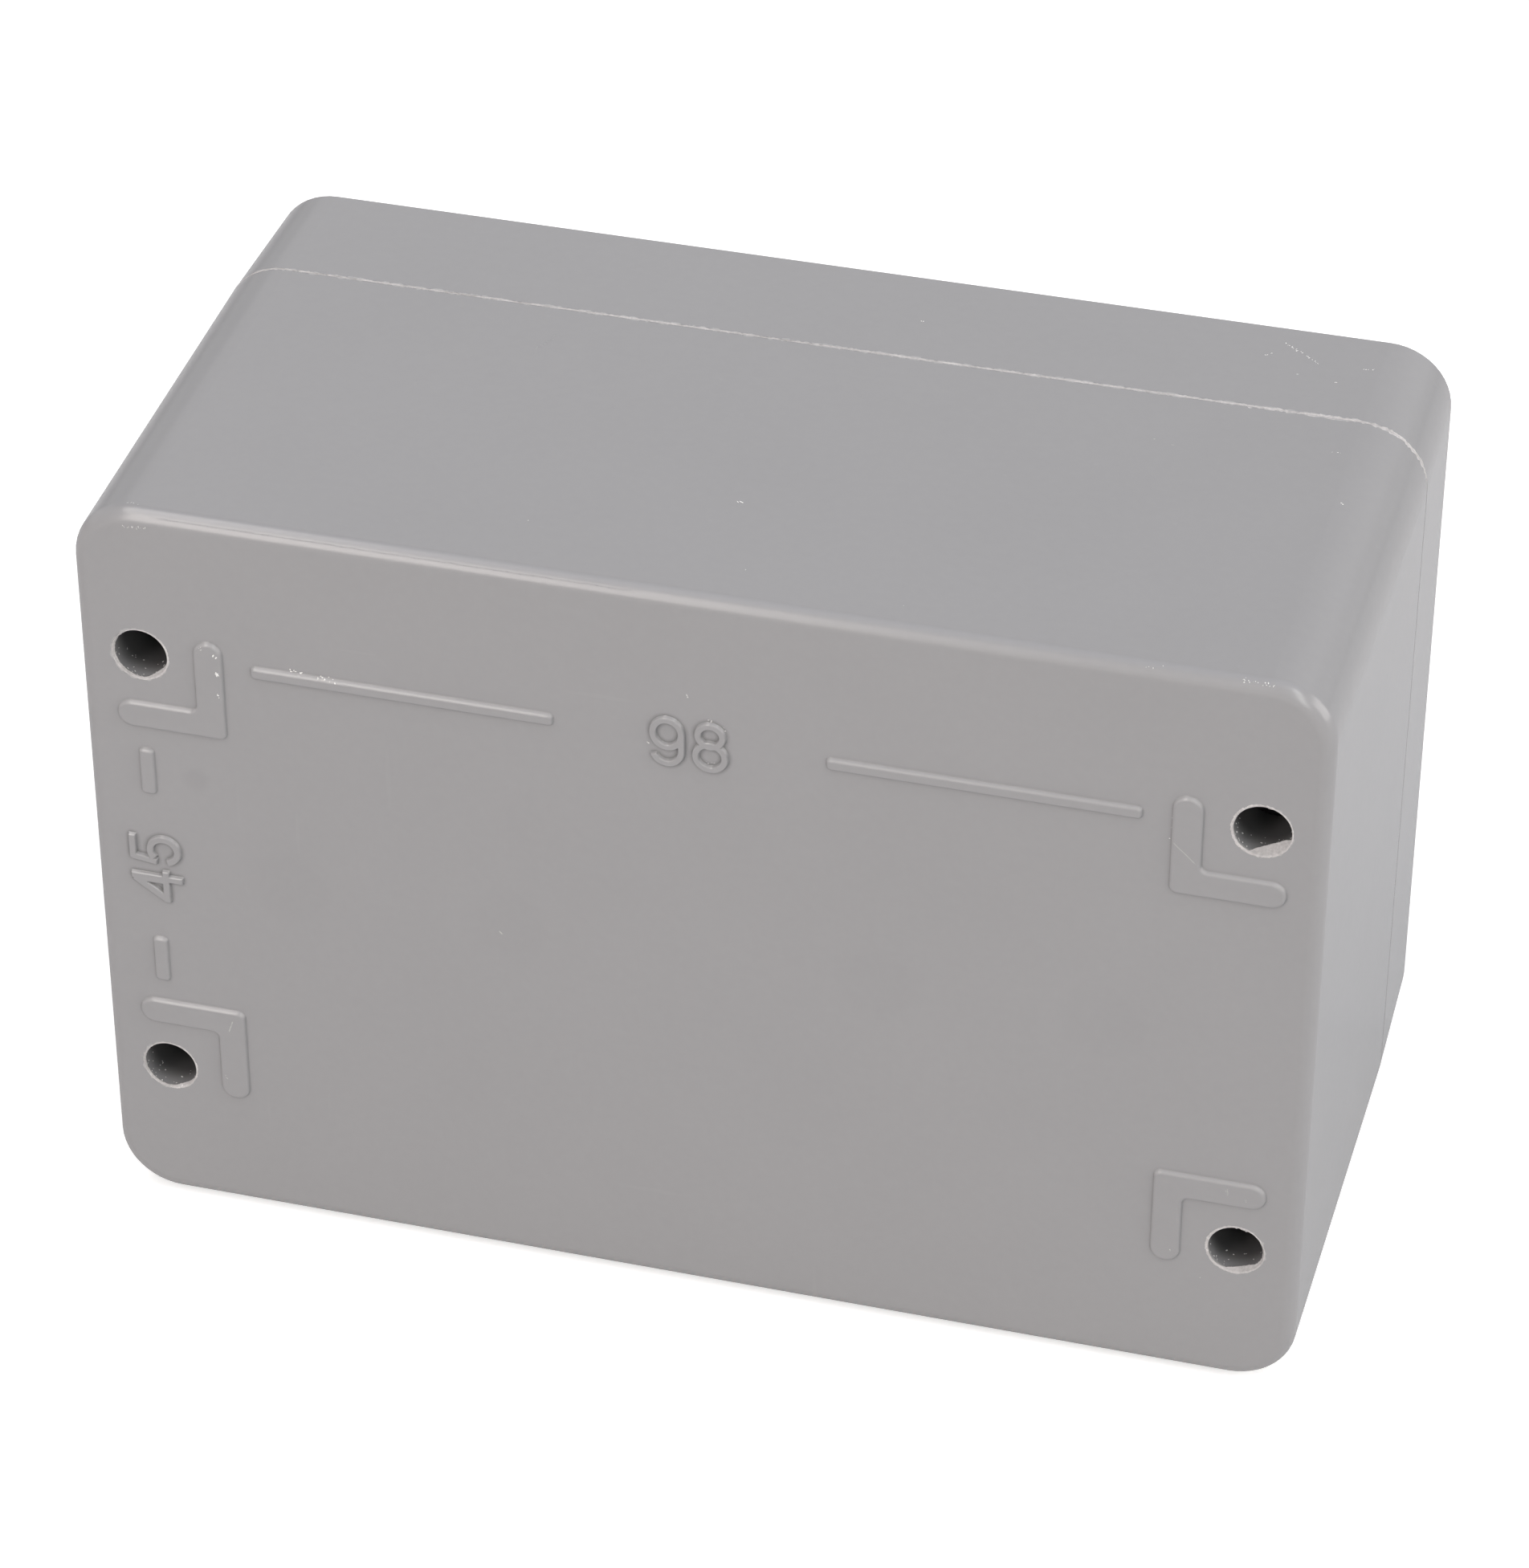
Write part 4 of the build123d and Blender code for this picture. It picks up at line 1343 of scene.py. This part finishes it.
def add_softbox(name, direction, distance, along, size, colour, power):
    """A rectangular lamp that faces the box, with its long side turned as given."""
    lamp = bpy.data.lights.new(name, "AREA")
    lamp.shape, lamp.size, lamp.size_y = "RECTANGLE", size[0], size[1]
    lamp.energy, lamp.color = power, colour
    light = bpy.data.objects.new(name, lamp)
    towards = Vector(direction).normalized()
    long_side = (Vector(along) - towards * towards.dot(Vector(along))).normalized()
    light.location = Vector((0.0, 0.0, MIDDLE)) + towards * distance
    light.rotation_mode = "QUATERNION"
    turn = Matrix((long_side, towards.cross(long_side), towards)).transposed()
    light.rotation_quaternion = turn.to_quaternion()
    bpy.context.scene.collection.objects.link(light)


FLOOR_HALF = 3.0
FLOOR_LIFT = 0.55


def make_floor(light):
    """A plain pale floor that shows white and keeps the box's shadow."""
    mesh = bpy.data.meshes.new("floor")
    corners = [(x * FLOOR_HALF, y * FLOOR_HALF, 0) for x, y in ((-1, -1), (1, -1), (1, 1), (-1, 1))]
    mesh.from_pydata(corners, [], [(0, 1, 2, 3)])
    floor = bpy.data.objects.new("floor", mesh)
    floor.location.z = CAD_BOX[0].z
    bpy.context.scene.collection.objects.link(floor)
    material = bpy.data.materials.new("pale_floor")
    material.use_nodes = True
    tree = material.node_tree
    tree.nodes.clear()
    diffuse = place(tree, "BsdfDiffuse", {"Color": full(light.floor_colour)})
    seen = place(tree, "LightPath").outputs["Is Camera Ray"]
    strength = times(tree, seen, FLOOR_LIFT)
    lift = place(tree, "Emission", {"Color": grey(1.0), "Strength": strength})
    both = place(tree, "AddShader", {0: diffuse.outputs[0], 1: lift.outputs[0]})
    place(tree, "OutputMaterial", {"Surface": both.outputs[0]})
    mesh.materials.append(material)


def make_world(light):
    """Even light from all round, with a white background where it is seen."""
    world = bpy.data.worlds.new("studio")
    bpy.context.scene.world = world
    world.use_nodes = True
    tree = world.node_tree
    tree.nodes.clear()
    path = place(tree, "LightPath").outputs
    strength = ramp(tree, path["Is Glossy Ray"], 0.0, 1.0, light.world_strength, light.world_reflection)
    strength = ramp(tree, path["Is Camera Ray"], 0.0, 1.0, strength, 1.0)
    colour = blend_colours(tree, path["Is Camera Ray"], full(light.world_colour), grey(1.0))
    background = place(tree, "Background", {"Color": colour, "Strength": strength})
    place(tree, "OutputWorld", {"Surface": background.outputs[0]})


def make_camera():
    camera = bpy.data.objects.new("photo_camera", bpy.data.cameras.new("photo_camera"))
    bpy.context.scene.collection.objects.link(camera)
    camera.data.lens, camera.data.sensor_width = CAMERA_LENS, SENSOR_WIDTH
    camera.data.clip_start = 0.01
    camera.location = CAMERA_PLACE
    aim = (Vector(CAMERA_TARGET) - Vector(CAMERA_PLACE)).to_track_quat("-Z", "Y")
    camera.rotation_mode = "QUATERNION"
    camera.rotation_quaternion = aim @ Quaternion((0, 0, 1), math.radians(CAMERA_ROLL))
    bpy.context.scene.camera = camera


# Lamps: name, direction from the box, distance, direction of the long side, size and colour
LAMPS = (
    ("front_strip", (0.337, 0.815, 0.471), 1.275, (0.0, -0.5, 0.866), (1.22, 0.35), (1.0, 0.93, 0.89)),
    ("upper_strip", (0.425, 0.157, 0.892), 1.32, (0.0, -0.985, 0.174), (1.0, 0.34), (1.0, 0.95, 0.92)),
    ("right_softbox", (-0.515, 0.528, 0.676), 1.4, (0.0, -0.788, 0.616), (1.9, 0.3), (0.98, 1.0, 0.97)),
    ("side_softbox", (-1.0, -0.15, 0.35), 1.4, (0.0, 1.0, 0.0), (1.6, 0.8), (1.0, 0.955, 0.93)),
    ("top_softbox", (-0.1, -0.1, 1.0), 1.5, (1.0, 0.0, 0.0), (1.6, 1.6), (0.62, 0.76, 1.0)),
    ("left_softbox", (1.0, -0.25, 0.35), 1.4, (0.0, 1.0, 0.0), (1.4, 0.8), (1.0, 1.0, 1.0)),
    ("lid_softbox", (0.0, -1.0, 0.5), 1.5, (1.0, 0.0, 0.0), (1.8, 1.0), (1.0, 1.0, 1.0)),
)


# Operators, in the order in which the box is dressed


class FinishMouldings(bpy.types.Operator):
    """Gives the base and the lid their satin grey resin"""

    bl_idname = "enclosure.finish_mouldings"
    bl_label = "Base and Lid"

    def execute(self, context):
        for build in GROUP_BUILDERS:
            build()
        finish = context.scene.enclosure_moulding
        material = resin_material("grey_glass_polyester", finish, finish.edge_radius, FACE_CREASE_SHADE)
        finish_node("base", material)
        finish_node("lid", material)
        return {"FINISHED"}


class MakeFigures(bpy.types.Operator):
    """Raises the figures of the two dimension lines on the back"""

    bl_idname = "enclosure.make_figures"
    bl_label = "Figures"

    def execute(self, context):
        finish = context.scene.enclosure_moulding
        # The figures' resin paints the crease shade beside their strokes more strongly
        material = resin_material("raised_glass_polyester", finish, finish.edge_radius / 2, FIGURE_CREASE_SHADE)
        for name, strokes, growth in FIGURES:
            piece = relief_mesh(name, strokes, growth, context.scene.enclosure_figures, material)
            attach(piece, "base")
        return {"FINISHED"}


class MakeFlash(bpy.types.Operator):
    """Leaves broken flash in the fixing holes and along the parting line"""

    bl_idname = "enclosure.make_flash"
    bl_label = "Broken Flash"

    def execute(self, context):
        sizes = context.scene.enclosure_flash
        material = broken_resin_material("broken_resin", FLASH_COLOUR)
        pieces = [(hole_flash(f"hole_flash_{number}", corner, sizes, material), "base")
                  for number, corner in zip(NUMBERS, CORNERS)]
        pieces.append((seam_flash("base_seam_flash", 1, sizes, material), "base"))
        pieces.append((seam_flash("lid_seam_flash", -1, sizes, material), "lid"))
        for piece, body in pieces:
            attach(piece, body)
        return {"FINISHED"}


class ScatterFlecks(bpy.types.Operator):
    """Scatters the flecks of broken resin over the mouldings and in the fixing holes"""

    bl_idname = "enclosure.scatter_flecks"
    bl_label = "Resin Flecks"

    def execute(self, context):
        chance = np.random.default_rng(FLECK_SEED)
        material = broken_resin_material("resin_flecks", FLECK_COLOUR)
        for body, places in fleck_places(chance).items():
            piece = fleck_mesh(f"{body}_flecks", places, chance, material)
            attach(piece, body)
        return {"FINISHED"}


class FinishGasket(bpy.types.Operator):
    """Gives the gasket its cell foam"""

    bl_idname = "enclosure.finish_gasket"
    bl_label = "Gasket"

    def execute(self, context):
        finish_node("lid_gasket", foam_material())
        return {"FINISHED"}


class MakeScrews(bpy.types.Operator):
    """Turns the four captive lid screws, with their threads and slots"""

    bl_idname = "enclosure.make_screws"
    bl_label = "Lid Screws"

    def execute(self, context):
        material = stainless_material()
        for number in NUMBERS:
            lid_screw(number, context.scene.enclosure_threads, material)
        return {"FINISHED"}


class FinishWashers(bpy.types.Operator):
    """Gives the retaining washers their nylon"""

    bl_idname = "enclosure.finish_washers"
    bl_label = "Retaining Washers"

    def execute(self, context):
        material = nylon_material()
        for number in NUMBERS:
            finish_node(f"retaining_washer_{number}", material)
        return {"FINISHED"}


class MakeInserts(bpy.types.Operator):
    """Turns the brass inserts of the lid screws and of the floor bosses"""

    bl_idname = "enclosure.make_inserts"
    bl_label = "Brass Inserts"

    def execute(self, context):
        sizes = context.scene.enclosure_threads
        material = brass_material()
        lid_thread = sizes.lid_diameter / 2, sizes.lid_pitch, LID_INSERT_FLOOR
        plate_thread = sizes.plate_diameter / 2, sizes.plate_pitch, PLATE_INSERT_FLOOR
        for number in NUMBERS:
            insert(f"lid_insert_{number}", f"lid_screw_insert_{number}", *lid_thread, material,
                   sizes.segments)
            insert(f"plate_insert_{number}", f"mounting_plate_insert_{number}", *plate_thread, material,
                   sizes.segments)
        return {"FINISHED"}


class SetStage(bpy.types.Operator):
    """Sets the floor, the soft lamps, the world and the photograph's camera"""

    bl_idname = "enclosure.set_stage"
    bl_label = "Stage"

    def execute(self, context):
        light = context.scene.enclosure_light
        context.scene.view_settings.view_transform = "Standard"
        make_floor(light)
        make_world(light)
        for lamp in LAMPS:
            add_softbox(*lamp, getattr(light, lamp[0]))
        make_camera()
        return {"FINISHED"}


SETTINGS = (
    ("enclosure_moulding", MouldingFinish),
    ("enclosure_figures", FigureSizes),
    ("enclosure_flash", FlashSizes),
    ("enclosure_threads", ThreadSizes),
    ("enclosure_light", StageLight),
)
OPERATORS = (FinishMouldings, MakeFigures, MakeFlash, ScatterFlecks, FinishGasket, MakeScrews,
             FinishWashers, MakeInserts, SetStage)


class EnclosurePanel(bpy.types.Panel):
    """The box's settings, and a button for each group of its pieces"""

    bl_idname = "VIEW3D_PT_enclosure"
    bl_label = "Fiberglass Enclosure"
    bl_space_type = "VIEW_3D"
    bl_region_type = "UI"
    bl_category = "Enclosure"

    def draw(self, context):
        for name, group in SETTINGS:
            box = self.layout.box()
            box.label(text=group.__doc__.rstrip("."))
            for setting in group.__annotations__:
                box.prop(getattr(context.scene, name), setting)
        for operator in OPERATORS:
            self.layout.operator(operator.bl_idname)


def register():
    for name, group in SETTINGS:
        bpy.utils.register_class(group)
        setattr(bpy.types.Scene, name, PointerProperty(type=group))
    for item in (*OPERATORS, EnclosurePanel):
        bpy.utils.register_class(item)


def unregister():
    for item in reversed((*OPERATORS, EnclosurePanel)):
        bpy.utils.unregister_class(item)
    for name, group in reversed(SETTINGS):
        delattr(bpy.types.Scene, name)
        bpy.utils.unregister_class(group)


def main():
    register()
    for operator in OPERATORS:
        getattr(bpy.ops.enclosure, operator.bl_idname.split(".")[1])()


if __name__ == "__main__":
    main()
